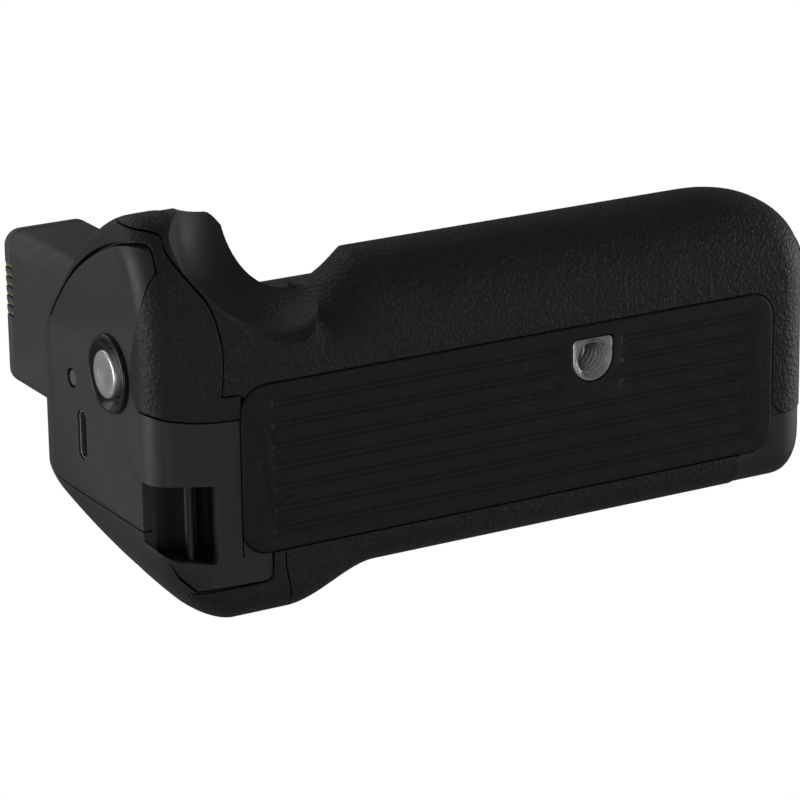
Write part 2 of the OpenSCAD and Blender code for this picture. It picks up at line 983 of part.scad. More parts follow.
// Stalk that goes into the camera's battery room
module stalk_prism(z0, z1, g) {
  translate([stalk_x, stalk_y, z0])
    linear_extrude(height = z1 - z0)
      round_rect(stalk_w + 2 * g, stalk_d + 2 * g, stalk_round + g);
}

module contact_slots(g, z0, z1) {
  for (k = [0 : slot_count - 1]) {
    block(stalk_x + stalk_w / 2 - slot_deep + g, stalk_x + stalk_w / 2 + slop,
      slot_y + k * slot_pitch - slot_w / 2 + g, slot_y + k * slot_pitch + slot_w / 2 - g, z0, z1);
  }
}

module battery_stalk() {
  color("#46464a")
    difference() {
      union() {
        stalk_prism(plate_z - 2 * fit, stalk_top - stalk_cap_t, 0);
        intersection() {
          stalk_prism(stalk_low, plate_z - fit, stalk_flange);
          grip_form(wall + fit);
        }
      }
      stalk_prism(stalk_low - slop, stalk_top, -stalk_wall);
      contact_slots(0, stalk_top - slot_l, stalk_top);
    }
}

module stalk_cap() {
  color("#46464a")
    difference() {
      union() {
        stalk_prism(stalk_top - stalk_cap_t + fit, stalk_top, 0);
        stalk_prism(stalk_top - stalk_cap_t - plug_l, stalk_top - stalk_cap_t + fit, -stalk_wall - fit);
      }
      contact_slots(0, stalk_top - slot_l, stalk_top + slop);
    }
}

module stalk_contacts() {
  color("#c9a24a")
    for (k = [0 : slot_count - 1]) {
      block(stalk_x + stalk_w / 2 - slot_deep + fit, stalk_x + stalk_w / 2 - contact_set_in,
        slot_y + k * slot_pitch - contact_w / 2, slot_y + k * slot_pitch + contact_w / 2,
        stalk_top - slot_l + fit, stalk_top - contact_set_in);
    }
}

// Inner frame round the battery drawer
module battery_chamber() {
  color("#5a5a5e")
    difference() {
      union() {
        difference() {
          block(chamber_left, chamber_right, chamber_rear, chamber_front, chamber_low, chamber_high);
          block(-far, chamber_right - chamber_wall, chamber_rear + chamber_wall, chamber_front - chamber_wall,
            chamber_low + chamber_wall, chamber_high - chamber_wall);
          for (k = [-1, 1]) {
            block(chamber_right - chamber_wall - slop, far, drawer_y + k * leaf_pitch - leaf_w / 2 - fit,
              drawer_y + k * leaf_pitch + leaf_w / 2 + fit, leaf_low - fit, leaf_high + fit);
          }
        }
        for (p = top_screw_places) {
          post(p[0], p[1], chamber_high - chamber_wall / 2, plate_z - fit, frame_post_r);
        }
        for (p = base_screw_places) {
          post(p[0], p[1], floor_post_z + fit, chamber_low + chamber_wall / 2, frame_post_r);
        }
      }
      for (p = top_screw_places) {
        post(p[0], p[1], chamber_high, far, screw_r + fit);
      }
      for (p = base_screw_places) {
        post(p[0], p[1], 0, chamber_low, screw_r + fit);
      }
    }
}

module chamber_contacts() {
  color("#c9a24a")
    for (k = [-1, 1]) {
      block(chamber_right - chamber_wall - leaf_reach, chamber_right + leaf_tail,
        drawer_y + k * leaf_pitch - leaf_w / 2, drawer_y + k * leaf_pitch + leaf_w / 2, leaf_low, leaf_high);
    }
}

// Battery drawer with two bays
module battery_drawer() {
  color("#505054")
    difference() {
      block(drawer_left, drawer_right, drawer_rear, drawer_front, drawer_low, drawer_low + drawer_h);
      for (k = [0, 1]) {
        bay_left = drawer_left + drawer_end_t + k * (bay_l + bay_wall);
        block(bay_left, bay_left + bay_l, drawer_y - bay_w / 2, drawer_y + bay_w / 2,
          drawer_low + drawer_floor, far);
      }
      rod_x(drawer_left - slop, cam_x + cam_t + slide_gap, knob_y, knob_z, cam_l + slide_gap);
      for (p = cap_screw_places) {
        rod_x(drawer_left - slop, far, p[0], p[1], small_r + fit);
        rod_x(drawer_left + drawer_end_t - small_head_t - fit, drawer_left + drawer_end_t + slop, p[0], p[1],
          small_head_r + fit);
      }
    }
}

module drawer_contacts() {
  color("#c9a24a")
    for (k = [-1, 1]) {
      block(drawer_right + fit, drawer_right + contact_t, drawer_y + k * leaf_pitch - leaf_w / 2,
        drawer_y + k * leaf_pitch + leaf_w / 2, leaf_low, leaf_high);
    }
}

module drawer_cap() {
  color("#3a3a3c")
    difference() {
      intersection() {
        grip_form(0);
        block(-far, drawer_left - fit, cap_rear, cap_front, cap_low, cap_high);
      }
      rod_x(-far, 0, knob_y, knob_z, shaft_r + running);
      for (p = cap_screw_places) {
        rod_x(drawer_left - cap_screw_grip, 0, p[0], p[1], small_r + fit);
      }
    }
}

module cap_screws() {
  color("#77777a")
    for (p = cap_screw_places) {
      rod_x(drawer_left + drawer_end_t - small_head_t, drawer_left + drawer_end_t - fit, p[0], p[1],
        small_head_r);
      rod_x(drawer_left - cap_screw_grip + fit, drawer_left + drawer_end_t - small_head_t, p[0], p[1],
        small_r);
    }
}

// Lock of the drawer
module lock_knob() {
  color("#232324")
    difference() {
      union() {
        rod_x(left_end - knob_h, left_end - slide_gap, knob_y, knob_z, knob_r);
        rod_x(left_end - slide_gap - fit, cam_x + cam_t, knob_y, knob_z, shaft_r);
      }
      block(left_end - knob_h - slop, left_end - knob_h + knob_slot_deep, knob_y - knob_slot_w / 2,
        knob_y + knob_slot_w / 2, knob_z - knob_r, knob_z + knob_r);
    }
}

module lock_cam() {
  color("#9a9a9e")
    difference() {
      union() {
        rod_x(cam_x, cam_x + cam_t, knob_y, knob_z, cam_w / 2);
        block(cam_x, cam_x + cam_t, knob_y - cam_w / 2, knob_y + cam_w / 2,
          knob_z, knob_z + cam_l - cam_w / 8);
      }
      rod_x(-far, far, knob_y, knob_z, shaft_r + fit / 2);
    }
}

// Attachment screw to the camera
module attachment_screw() {
  color("#c0c0c4")
    union() {
      post(0, 0, wheel_z + fit, plate_z - slide_gap / 2, hub_r);
      post(0, 0, plate_z - slide_gap, cushion_top + 2 * fit, shank_r);
      post(0, 0, cushion_top + fit, body_height + stud_reach, thread_r);
    }
}

module thumbwheel() {
  color("#202021")
    difference() {
      post(0, 0, wheel_z, wheel_z + wheel_t, wheel_r);
      post(0, 0, 0, far, hub_r + fit / 2);
      for (k = [0 : knurl_count - 1]) {
        rotate([0, 0, 360 * k / knurl_count])
          post(wheel_r + knurl_out, 0, 0, far, knurl_r);
      }
    }
}

module screw_bush() {
  color("#b08d4a")
    difference() {
      post(0, 0, plate_z, body_height, bush_r);
      post(0, 0, 0, far, shank_r + running);
    }
}

module locating_pin() {
  color("#b4b4b8")
    union() {
      post(pin_x, pin_y, plate_z, cushion_top + fit, pin_root_r);
      post(pin_x, pin_y, cushion_top, body_height + pin_h, pin_r);
    }
}

module cushion_space(g) {
  translate([cushion_x, cushion_y, cushion_z - g])
    linear_extrude(height = far)
      round_rect(cushion_w + 2 * g, cushion_d + 2 * g, cushion_r);
}

module top_cushion() {
  color("#18181a")
    difference() {
      intersection() {
        cushion_space(0);
        block(-far, far, -far, far, 0, cushion_top);
      }
      post(0, 0, 0, far, bush_r + seam);
      post(pin_x, pin_y, 0, far, pin_root_r + seam);
    }
}

module top_screws() {
  color("#a8a8ac")
    for (p = top_screw_places) {
      post(p[0], p[1], chamber_high + fit, cushion_z - top_head_t, screw_r);
      post(p[0], p[1], cushion_z - top_head_t, cushion_z - fit, screw_head_r);
    }
}

module base_screws() {
  color("#a8a8ac")
    for (p = base_screw_places) {
      post(p[0], p[1], screw_seat_z, screw_seat_z + screw_head_t, screw_head_r);
      post(p[0], p[1], screw_seat_z + screw_head_t, chamber_low - fit, screw_r);
    }
}

front_shell();
rear_shell();
top_plate();
end_panel();
corner_grip();
front_grip();
rear_grip();
thumb_grip();
bottom_pad();
tripod_socket();
strap_pocket();
strap_bar();
shutter_collar();
shutter_button();
shutter_clip();
shutter_switch();
usb_shell();
usb_tongue();
charge_led();
light_pipe();
end_board();
main_board();
board_screws();
end_board_screws();
battery_stalk();
stalk_cap();
stalk_contacts();
battery_chamber();
chamber_contacts();
battery_drawer();
drawer_contacts();
drawer_cap();
cap_screws();
lock_knob();
lock_cam();
attachment_screw();
thumbwheel();
screw_bush();
locating_pin();
top_cushion();
top_screws();
base_screws();
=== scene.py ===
"""Looks of a camera battery grip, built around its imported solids."""
import math

import bmesh
import bpy
from mathutils import Matrix, Vector


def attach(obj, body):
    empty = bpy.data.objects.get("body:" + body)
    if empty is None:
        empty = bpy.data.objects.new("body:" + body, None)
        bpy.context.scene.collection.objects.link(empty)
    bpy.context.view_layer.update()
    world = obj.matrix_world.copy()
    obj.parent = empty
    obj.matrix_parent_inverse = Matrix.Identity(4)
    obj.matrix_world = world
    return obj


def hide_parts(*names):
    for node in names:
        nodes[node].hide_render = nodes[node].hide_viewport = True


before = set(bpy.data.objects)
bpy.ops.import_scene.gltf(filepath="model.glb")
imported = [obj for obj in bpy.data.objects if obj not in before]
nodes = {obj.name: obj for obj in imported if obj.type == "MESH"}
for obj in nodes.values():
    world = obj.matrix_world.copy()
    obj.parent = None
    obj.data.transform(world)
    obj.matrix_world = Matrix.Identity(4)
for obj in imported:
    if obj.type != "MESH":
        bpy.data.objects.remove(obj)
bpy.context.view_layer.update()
FAR = 150.0

# Sizes of the body, in millimetres, in the part's frame
RIGHT, LEFT, HEIGHT = 89.0, -50.0, 43.0
REAR, UPPER, BULGE, VALLEY, HUMP, HUMP_TOP = 31.5, 11.0, 24.5, 17.0, 36.0, 17.0
THUMB, CREST, BAND = 5.5, 13.0, 30.0
WALL, PLATE, FOOT, SKIN = 2.6, 2.4, 0.4, 1.2
PLATE_Z = HEIGHT - PLATE
PART_Y = -18.0
SEAM, FIT = 0.3, 0.1
PROUD = 0.22
PAD_X, PAD_Y, PAD_W, PAD_D, PAD_T, PAD_R = 16.0, -9.0, 112.0, 31.0, 1.6, 5.0
PAD_RIGHT, PAD_LEFT = PAD_X + PAD_W / 2, PAD_X - PAD_W / 2
PAD_FRONT, PAD_REAR = PAD_Y + PAD_D / 2, PAD_Y - PAD_D / 2

# Finger channel between bulge and hump, and the bowl that clears the bulge's end
CHANNEL_X, CHANNEL_Y, CHANNEL_REACH = 61.8, 33.5, 19.2
CHANNEL_LEFT, CHANNEL_RIGHT, CHANNEL_WIDE = 16.0, 15.7, 4.3
CHANNEL_SPRING, CHANNEL_RISE, CHANNEL_FLARE = 6.0, 20.0, 4.0
CHANNEL_FULL = 1.6
BOWL_X, BOWL_Y, BOWL_Z = 50.5, 36.0, 24.0
BOWL_RX, BOWL_RY, BOWL_RZ = 11.5, 24.0, 14.0

# Places and sizes of the smaller pieces
BUTTON_Y, BUTTON_Z = 8.0, 15.8
LAMP_Y, LAMP_Z = 2.8, 32
USB_Y, USB_Z = -6.8, 28.5
LOCK_Y, LOCK_Z = 6, 18
PIN_X, PIN_Y = -18, -1
STALK_W, STALK_D, STALK_X, STALK_Y = 18, 30.7, 66, -1.05
CUSHION_W, CUSHION_D, CUSHION_X, CUSHION_Y = 88, 36, 4, -10.5
MOUTH_W, MOUTH_H, MOUTH_R, MOUTH_Y, MOUTH_Z, MOUTH_IN = 41.3, 25, 2.5, -7.25, 23.9, -46.0
TOP_SCREWS = ((-30, -22), (-30, 2), (32, -22), (32, 2))
PITCH = 1.27
SOCKET_R, SOCKET_FRONT, SOCKET_CORNER = 4.3, 3.9, 0.9
GROOVES, GROOVE_HALF, GROOVE_DEPTH, GROOVE_RUN, GROOVE_INSET, GROOVE_CLEAR = 7, 0.62, 0.26, 2.2, 6, 6.3
STALK_TOP, STALK_ROUND = 91.5, 1.3
CONTACTS, CONTACT_PITCH, CONTACT_HALF = 6, 1.9, 0.55
KNOB_FLUTES, WHEEL_FLUTES = 24, 36

# Gaps at the pad and at the parting line, and how much deeper the scoop is in the plastic
PAD_GAP, PART_GAP, SINK = 0.12, 0.05, 0.45

# Fineness of the forms that are hidden
COARSE = 14


# Body form
def ease(a, b, x):
    """0 below a, 1 above b, with a soft step between."""
    t = min(1.0, max(0.0, (x - a) / (b - a)))
    return t * t * (3 - 2 * t)


def drop(e, along, across, power=2.0):
    """Fall of a rounded corner at a distance from the end."""
    if e >= along:
        return 0.0
    u = (along - max(e, 0.0)) / along
    return across * (1 - max(0.0, 1 - u ** power) ** (1 / power))


def shrunk(r, d):
    return max(r - d, 0.5)


def hump_share(x):
    return ease(52, 65, x)


def crest_y(x, d):
    """Reach of the front at its crest."""
    fr, fl = RIGHT - d - x, x - LEFT - d
    return (VALLEY + (HUMP - VALLEY) * hump_share(x) + (BULGE - VALLEY) * (1 - ease(43, 57, x)) - d
            - drop(fr, shrunk(5, d), shrunk(5, d)) - drop(fl, shrunk(22, d), shrunk(12, d)))


def top_y(x, d):
    """Reach of the front under the top plate."""
    fr, fl = RIGHT - d - x, x - LEFT - d
    return (UPPER + (HUMP_TOP - UPPER) * hump_share(x) - d
            - drop(fr, shrunk(10, d), shrunk(9, d)) - drop(fl, shrunk(5, d), shrunk(5, d)))


def base_z(x, d):
    """Height of the underside."""
    fr, fl = RIGHT - d - x, x - LEFT - d
    return FOOT + d + drop(fr, shrunk(4, d), shrunk(4, d)) + drop(fl, shrunk(8, d), shrunk(8, d))


def rear_y(x, z, d):
    """Rear wall, which leans out to the thumb rest."""
    fr, fl = RIGHT - d - x, x - LEFT - d
    lean = THUMB * ease(44, 62, x) * (1 - (min(z, HEIGHT) / HEIGHT) ** 2)
    return (-REAR - lean + d + drop(fr, shrunk(16, d), shrunk(16, d), 1.5)
            + drop(fl, shrunk(7, d), shrunk(7, d)))


def section(x, d, n):
    """Outline of the body across its length, set in by d; n is the fineness."""
    yc, yt, z0 = crest_y(x, d), top_y(x, d), base_z(x, d)
    zb = BAND + (HEIGHT - 1 - BAND) * hump_share(x)
    z1, r = HEIGHT + d, shrunk(6, d)
    pts = []
    for k in range(n + 1):
        a = math.pi / 2 * k / n
        out, down = math.sin(a) ** (2 / 2.2), max(0.0, math.cos(a)) ** (2 / 2.2)
        pts.append((8 + (yc - 8) * out, CREST - (CREST - z0) * down))
    for k in range(1, n + 1):
        u = k / n
        pts.append((yc - (yc - yt) * u ** 1.7, CREST + (zb - CREST) * u))
    pts.append((yt, z1))
    m = max(3, n // 2)
    for k in range(m):
        z = z1 + (z0 + r - z1) * k / m
        pts.append((rear_y(x, z, d), z))
    for k in range(m + 1):
        a = math.pi / 2 * k / m
        pts.append((rear_y(x, z0 + r, d) + r * (1 - math.cos(a)), z0 + r * (1 - math.sin(a))))
    return pts


def stations(d, n):
    """Places along the length, closer together at the ends."""
    xs = [LEFT + d + (22 - d) * (1 - math.cos(math.pi / 2 * k / n)) for k in range(n + 1)]
    xs += [LEFT + 22 + (43 - LEFT - 22) * k / n for k in range(1, n + 1)]
    xs += [43 + (RIGHT - 16 - 43) * k / (2 * n) for k in range(1, 2 * n + 1)]
    xs += [RIGHT - 16 + (16 - d) * math.sin(math.pi / 2 * k / (n + 6)) for k in range(1, n + 7)]
    return xs


# Solids
def new(name, verts, faces):
    me = bpy.data.meshes.new(name)
    me.from_pydata([tuple(v) for v in verts], [], [tuple(f) for f in faces])
    me.validate()
    ob = bpy.data.objects.new(name, me)
    bpy.context.scene.collection.objects.link(ob)
    bm = bmesh.new()
    bm.from_mesh(me)
    bmesh.ops.remove_doubles(bm, verts=bm.verts, dist=1e-4)
    bmesh.ops.recalc_face_normals(bm, faces=bm.faces)
    bm.to_mesh(me)
    bm.free()
    return ob


def loft(name, rings):
    """Closed solid through rings of equal length."""
    side = len(rings[0])
    verts = [p for r in rings for p in r]
    faces = []
    for i in range(len(rings) - 1):
        for j in range(side):
            a, b = i * side + j, i * side + (j + 1) % side
            faces.append((a, a + side, b + side, b))
    faces.append(tuple(range(side)))
    faces.append(tuple((len(rings) - 1) * side + j for j in range(side)))
    return new(name, verts, faces)


def body_form(d, n=22):
    return loft("form", [[(x, y, z) for y, z in section(x, d, n)] for x in stations(d, n)])


def turns(n):
    """Angles of n equal steps round a full turn."""
    return [2 * math.pi * k / n for k in range(n)]


def oval(cx, cy, rx, ry, z, n=128):
    return [(cx + rx * math.cos(a), cy + ry * math.sin(a), z) for a in turns(n)]


def scoop_row(z, left, right, reach, power):
    """Outline of the channel at one height; its side towards the hump has its own reach and fullness."""
    out = []
    for a in turns(96):
        c, e = math.cos(a), math.sin(a)
        q = 2 / power if c > 0 and e < 0 else 1.0
        x = CHANNEL_X + (right if c > 0 else left) * math.copysign(abs(c) ** q, c)
        out.append((x, CHANNEL_Y + reach * math.copysign(abs(e) ** q, e), z))
    return out


def finger_channel(more):
    """Channel between bulge and hump: a flared foot, a wide mouth under the hump, and a vault above."""
    left, right, reach = CHANNEL_LEFT + more, CHANNEL_RIGHT + more, CHANNEL_REACH + more
    rows = []
    for k in range(11):
        z = CHANNEL_FLARE * k / 10 - 0.2
        u = min(1.0, (CHANNEL_FLARE - z) / (CHANNEL_FLARE + 0.2))
        flare = CHANNEL_FLARE * (1 - math.sqrt(max(0.0, 1 - u ** 2)))
        rows.append(scoop_row(z, left + flare, right + CHANNEL_WIDE, reach + flare, CHANNEL_FULL))
    for k in range(1, 31):
        rise = 0.9997 * math.sin(math.pi / 2 * k / 30)
        f = math.sqrt(1 - rise ** 2)
        z = CHANNEL_SPRING + (CHANNEL_RISE + more) * rise
        wide = CHANNEL_WIDE * (1 - ease(4.5, 13.5, z))
        power = 2.0 - (2.0 - CHANNEL_FULL) * (1 - ease(6, 13.5, z))
        rows.append(scoop_row(z, left * f, right * f + wide, reach * f, power))
    return loft("channel", rows)


def finger_bowl(more):
    """Hollow that clears the end of the bulge above the rim."""
    rx, ry, rz = BOWL_RX + more, BOWL_RY + more, BOWL_RZ + more
    rows = [oval(BOWL_X, BOWL_Y, rx * math.sin(a), ry * math.sin(a), BOWL_Z - rz * math.cos(a))
            for a in [math.pi * k / 64 for k in range(2, 63)]]
    return loft("bowl", rows)


def prism(points, lo, hi, axis="z"):
    """Closed outline pushed along an axis: x takes (y, z) points, y takes (x, z), z takes (x, y)."""
    put = {"z": lambda p, t: (p[0], p[1], t),
           "y": lambda p, t: (p[0], t, p[1]),
           "x": lambda p, t: (t, p[0], p[1])}[axis]
    return loft("prism", [[put(p, lo) for p in points], [put(p, hi) for p in points]])


def block(x0, x1, y0, y1, z0, z1):
    return prism([(x0, y0), (x1, y0), (x1, y1), (x0, y1)], z0, z1)


def ring(r, n, cx=0.0, cy=0.0):
    return [(cx + r * math.cos(a), cy + r * math.sin(a)) for a in turns(n)]


def rod(axis, u, v, r, lo, hi, n=64):
    return prism(ring(r, n, u, v), lo, hi, axis)


def rounded(w, d, r, n=10, cx=0.0, cy=0.0):
    pts = []
    for sx, sy, a0 in ((1, 1, 0), (-1, 1, 90), (-1, -1, 180), (1, -1, 270)):
        for k in range(n + 1):
            a = math.radians(a0 + 90 * k / n)
            pts.append((cx + sx * (w / 2 - r) + r * math.cos(a), cy + sy * (d / 2 - r) + r * math.sin(a)))
    return pts


def smooth(points, rounds=3):
    """Corner cutting; the line keeps its ends."""
    pts = [tuple(p) for p in points]
    for _ in range(rounds):
        out = [pts[0]]
        for a, b in zip(pts, pts[1:]):
            out.append((a[0] * 0.75 + b[0] * 0.25, a[1] * 0.75 + b[1] * 0.25))
            out.append((a[0] * 0.25 + b[0] * 0.75, a[1] * 0.25 + b[1] * 0.75))
        pts = out + [pts[-1]]
    return pts


def shift(points, dx=0.0, dy=0.0):
    return [(p[0] + dx, p[1] + dy) for p in points]


def grow(points, centre, g, more=0.0):
    """Moves points away from a centre by g, and by more at the high end of the first axis."""
    out = []
    for p in points:
        v = (p[0] - centre[0], p[1] - centre[1])
        ln = math.hypot(*v)
        r = g + more * ease(18, 30, p[0])
        out.append((p[0] + r * v[0] / ln, p[1] + r * v[1] / ln))
    return out


def carve(ob, *steps):
    """Booleans in a row: pairs of an operation and a solid, or a list of solids. The solids are used up."""
    used = []
    for op, tools in steps:
        for t in tools if isinstance(tools, list) else [tools]:
            m = ob.modifiers.new("b", "BOOLEAN")
            m.operation, m.object, m.solver = op, t, "MANIFOLD"
            used.append(t)
    bpy.context.view_layer.update()
    me = bpy.data.meshes.new_from_object(ob.evaluated_get(bpy.context.evaluated_depsgraph_get()))
    ob.modifiers.clear()
    old, ob.data = ob.data, me
    bpy.data.meshes.remove(old)
    for t in set(used):
        bpy.data.objects.remove(t)
    return ob


CUT, AND, ADD = "DIFFERENCE", "INTERSECT", "UNION"


def twin(ob):
    c = bpy.data.objects.new(ob.name, ob.data.copy())
    bpy.context.scene.collection.objects.link(c)
    return c


def finish_piece(ob, name, mat, body, replaced=(), angle=32):
    """To metres and smooth with hard edges, with its material, body and the nodes it stands for."""
    ob.name = ob.data.name = name
    bm = bmesh.new()
    bm.from_mesh(ob.data)
    bmesh.ops.remove_doubles(bm, verts=bm.verts, dist=0.004)
    bmesh.ops.dissolve_degenerate(bm, edges=bm.edges, dist=0.002)
    bmesh.ops.recalc_face_normals(bm, faces=bm.faces)
    bm.to_mesh(ob.data)
    bm.free()
    ob.data.transform(Matrix.Scale(0.001, 4))
    ob.data.polygons.foreach_set("use_smooth", [True] * len(ob.data.polygons))
    ob.data.set_sharp_from_angle(angle=math.radians(angle))
    ob.data.materials.clear()
    ob.data.materials.append(mat)
    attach(ob, body)
    if replaced:
        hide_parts(*replaced)


def lathe(name, profile, axis, at, n=96):
    """Turned solid: profile is (radius, height) points, from axis to axis or closed on itself."""
    verts, faces, rows = [], [], []
    for r, h in profile:
        row = []
        for k in range(n if r > 1e-6 else 1):
            a = 2 * math.pi * k / n
            c, s = r * math.cos(a), r * math.sin(a)
            row.append(len(verts))
            local = {"x": (h, c, s), "y": (c, h, s), "z": (c, s, h)}[axis]
            verts.append(tuple(local[i] + at[i] for i in range(3)))
        rows.append(row)
    for a, b in zip(rows, rows[1:]):
        for k in range(n):
            q = [a[k % len(a)], a[(k + 1) % len(a)], b[(k + 1) % len(b)], b[k % len(b)]]
            q = [v for i, v in enumerate(q) if v not in q[:i]]
            if len(q) > 2:
                faces.append(q)
    return new(name, verts, faces)


def fillet(r0, h0, r1, h1, bulge_r, bulge_h, n=5):
    """Points of a quarter round from (r0, h0) to (r1, h1) about its own corner (bulge_r, bulge_h)."""
    out = []
    for k in range(n + 1):
        t = k / n
        a, b, c = (1 - t) ** 2, 2 * t * (1 - t), t ** 2
        out.append((a * r0 + b * bulge_r + c * r1, a * h0 + b * bulge_h + c * h1))
    return out


# Materials
def node_material(name):
    m = bpy.data.materials.new(name)
    m.use_nodes = True
    t = m.node_tree
    return m, t, t.nodes["Principled BSDF"]


def add(t, kind, **inputs):
    n = t.nodes.new(kind)
    for k, v in inputs.items():
        n.inputs[k.replace("_", " ")].default_value = v
    return n


def link(t, a, b):
    t.links.new(a, b)


def mm_coords(t, stretch=(1, 1, 1)):
    """Object coordinates in millimetres."""
    tc = t.nodes.new("ShaderNodeTexCoord")
    mp = t.nodes.new("ShaderNodeMapping")
    mp.inputs["Scale"].default_value = [1000 * s for s in stretch]
    link(t, tc.outputs["Object"], mp.inputs["Vector"])
    return mp.outputs["Vector"]


def noise(t, vec, scale, detail=3.0, rough=0.55):
    n = add(t, "ShaderNodeTexNoise", Scale=scale, Detail=detail, Roughness=rough)
    link(t, vec, n.inputs["Vector"])
    return n.outputs["Fac"]


def ramp(t, fac, stops):
    r = t.nodes.new("ShaderNodeValToRGB")
    while len(r.color_ramp.elements) < len(stops):
        r.color_ramp.elements.new(0.5)
    for e, (p, c) in zip(r.color_ramp.elements, stops):
        e.position = p
        e.color = (c[0], c[1], c[2], 1) if isinstance(c, (tuple, list)) else (c, c, c, 1)
    link(t, fac, r.inputs["Fac"])
    return r.outputs["Color"]


def math_node(t, op, a, b):
    n = t.nodes.new("ShaderNodeMath")
    n.operation = op
    for i, v in enumerate((a, b)):
        if isinstance(v, (int, float)):
            n.inputs[i].default_value = v
        else:
            link(t, v, n.inputs[i])
    return n.outputs["Value"]


def edge_wear(t):
    """1 on convex edges."""
    g = t.nodes.new("ShaderNodeNewGeometry")
    return ramp(t, g.outputs["Pointiness"], [(0.50, 0.0), (0.56, 1.0)])


def mix_color(t, fac, a, b):
    n = t.nodes.new("ShaderNodeMix")
    n.data_type = "RGBA"
    for sock, v in ((n.inputs[0], fac), (n.inputs[6], a), (n.inputs[7], b)):
        if isinstance(v, (int, float)):
            sock.default_value = v
        elif isinstance(v, (tuple, list)):
            sock.default_value = (v[0], v[1], v[2], 1)
        else:
            link(t, v, sock)
    return n.outputs[2]


def bumps(t, bsdf, heights, round_mm=0.0):
    """Chains bumps of (height socket, strength, distance in mm) over softly rounded edges."""
    normal = None
    if round_mm:
        bv = t.nodes.new("ShaderNodeBevel")
        bv.samples = 4
        bv.inputs["Radius"].default_value = round_mm * 0.001
        normal = bv.outputs["Normal"]
    for h, strength, dist in heights:
        b = t.nodes.new("ShaderNodeBump")
        b.inputs["Strength"].default_value = strength
        b.inputs["Distance"].default_value = dist * 0.001
        link(t, h, b.inputs["Height"])
        if normal is not None:
            link(t, normal, b.inputs["Normal"])
        normal = b.outputs["Normal"]
    link(t, normal, bsdf.inputs["Normal"])


def rubber(name, base, grain=1.0, rough=0.52):
    """Moulded rubber with leather-like cells, pores, a faint bloom and painted shade in the hollows between
    the cells.
    """
    m, t, b = node_material(name)
    v = mm_coords(t)
    warp = noise(t, v, 0.55, 2.0)
    cells = add(t, "ShaderNodeTexVoronoi", Scale=1.25, Randomness=1.0)
    cells.feature = "SMOOTH_F1"
    cells.inputs["Smoothness"].default_value = 0.35
    link(t, v, cells.inputs["Vector"])
    fine = noise(t, v, 3.1, 5.0, 0.66)
    pebble = ramp(t, cells.outputs["Distance"], [(0.05, 1.0), (0.62, 0.0)])
    coarse, pores = math_node(t, "MULTIPLY", pebble, 0.62), math_node(t, "MULTIPLY", fine, 0.55)
    height = math_node(t, "ADD", coarse, pores)
    dark = tuple(c * 0.72 for c in base)
    light = tuple(c * 1.32 for c in base)
    col = mix_color(t, ramp(t, noise(t, v, 0.09, 3.0), [(0.35, 0.0), (0.65, 1.0)]), dark, light)
    # Painted shade: the colour is darkened to 0.55 of the base where the grain is low, in the hollows
    # between the cells.
    col = mix_color(t, ramp(t, height, [(0.30, 1.0), (0.55, 0.0)]), col, tuple(c * 0.55 for c in base))
    link(t, col, b.inputs["Base Color"])
    link(t, ramp(t, fine, [(0.3, rough + 0.13), (0.7, rough - 0.08)]), b.inputs["Roughness"])
    b.inputs["Specular IOR Level"].default_value = 0.42
    bumps(t, b, [(height, 0.75 * grain, 0.24), (warp, 0.12, 0.5)], 0.3)
    return m


def plastic(name, base, rough=0.42, spark=0.16, spec=0.5, round_mm=0.25, scale=9.0):
    """Moulded plastic with a fine spark-eroded surface, faint flow marks and rubbed edges."""
    m, t, b = node_material(name)
    v = mm_coords(t)
    fine = noise(t, v, scale, 3.0, 0.6)
    flow = noise(t, v, 0.06, 3.0, 0.5)
    smudge = noise(t, v, 0.22, 4.0, 0.65)
    dark = tuple(c * 0.86 for c in base)
    light = tuple(c * 1.12 for c in base)
    col = mix_color(t, ramp(t, flow, [(0.35, 0.0), (0.65, 1.0)]), dark, light)
    col = mix_color(t, edge_wear(t), col, tuple(min(1.0, c * 1.7 + 0.004) for c in base))
    link(t, col, b.inputs["Base Color"])
    link(t, ramp(t, smudge, [(0.3, rough - 0.05), (0.72, rough + 0.08)]), b.inputs["Roughness"])
    b.inputs["Specular IOR Level"].default_value = spec
    bumps(t, b, [(fine, spark, 0.05)], round_mm)
    return m


def metal(name, base, rough=0.32, stretch=(1, 1, 1), brush=0.12, round_mm=0.15):
    """Metal with turning or brushing marks, small pits and a dull film."""
    m, t, b = node_material(name)
    v = mm_coords(t, stretch)
    lines = noise(t, v, 3.0, 4.0, 0.7)
    film = noise(t, mm_coords(t), 0.35, 3.0, 0.6)
    col = mix_color(t, ramp(t, film, [(0.35, 0.0), (0.7, 1.0)]), tuple(c * 0.82 for c in base), base)
    link(t, col, b.inputs["Base Color"])
    link(t, ramp(t, lines, [(0.25, rough - 0.08), (0.75, rough + 0.14)]), b.inputs["Roughness"])
    b.inputs["Metallic"].default_value = 1.0
    bumps(t, b, [(lines, brush, 0.03)], round_mm)
    return m


def board_paint(name):
    """Solder mask with copper tracks showing through as a lighter green."""
    m, t, b = node_material(name)
    v = mm_coords(t)
    w = add(t, "ShaderNodeTexBrick", Scale=0.55, Mortar_Size=0.06)
    w.inputs["Color1"].default_value = (0.010, 0.075, 0.030, 1)
    w.inputs["Color2"].default_value = (0.012, 0.085, 0.034, 1)
    w.inputs["Mortar"].default_value = (0.030, 0.170, 0.075, 1)
    link(t, v, w.inputs["Vector"])
    link(t, w.outputs["Color"], b.inputs["Base Color"])
    link(t, ramp(t, noise(t, v, 0.8), [(0.3, 0.28), (0.7, 0.42)]), b.inputs["Roughness"])
    bumps(t, b, [(w.outputs["Fac"], 0.2, 0.05)])
    return m


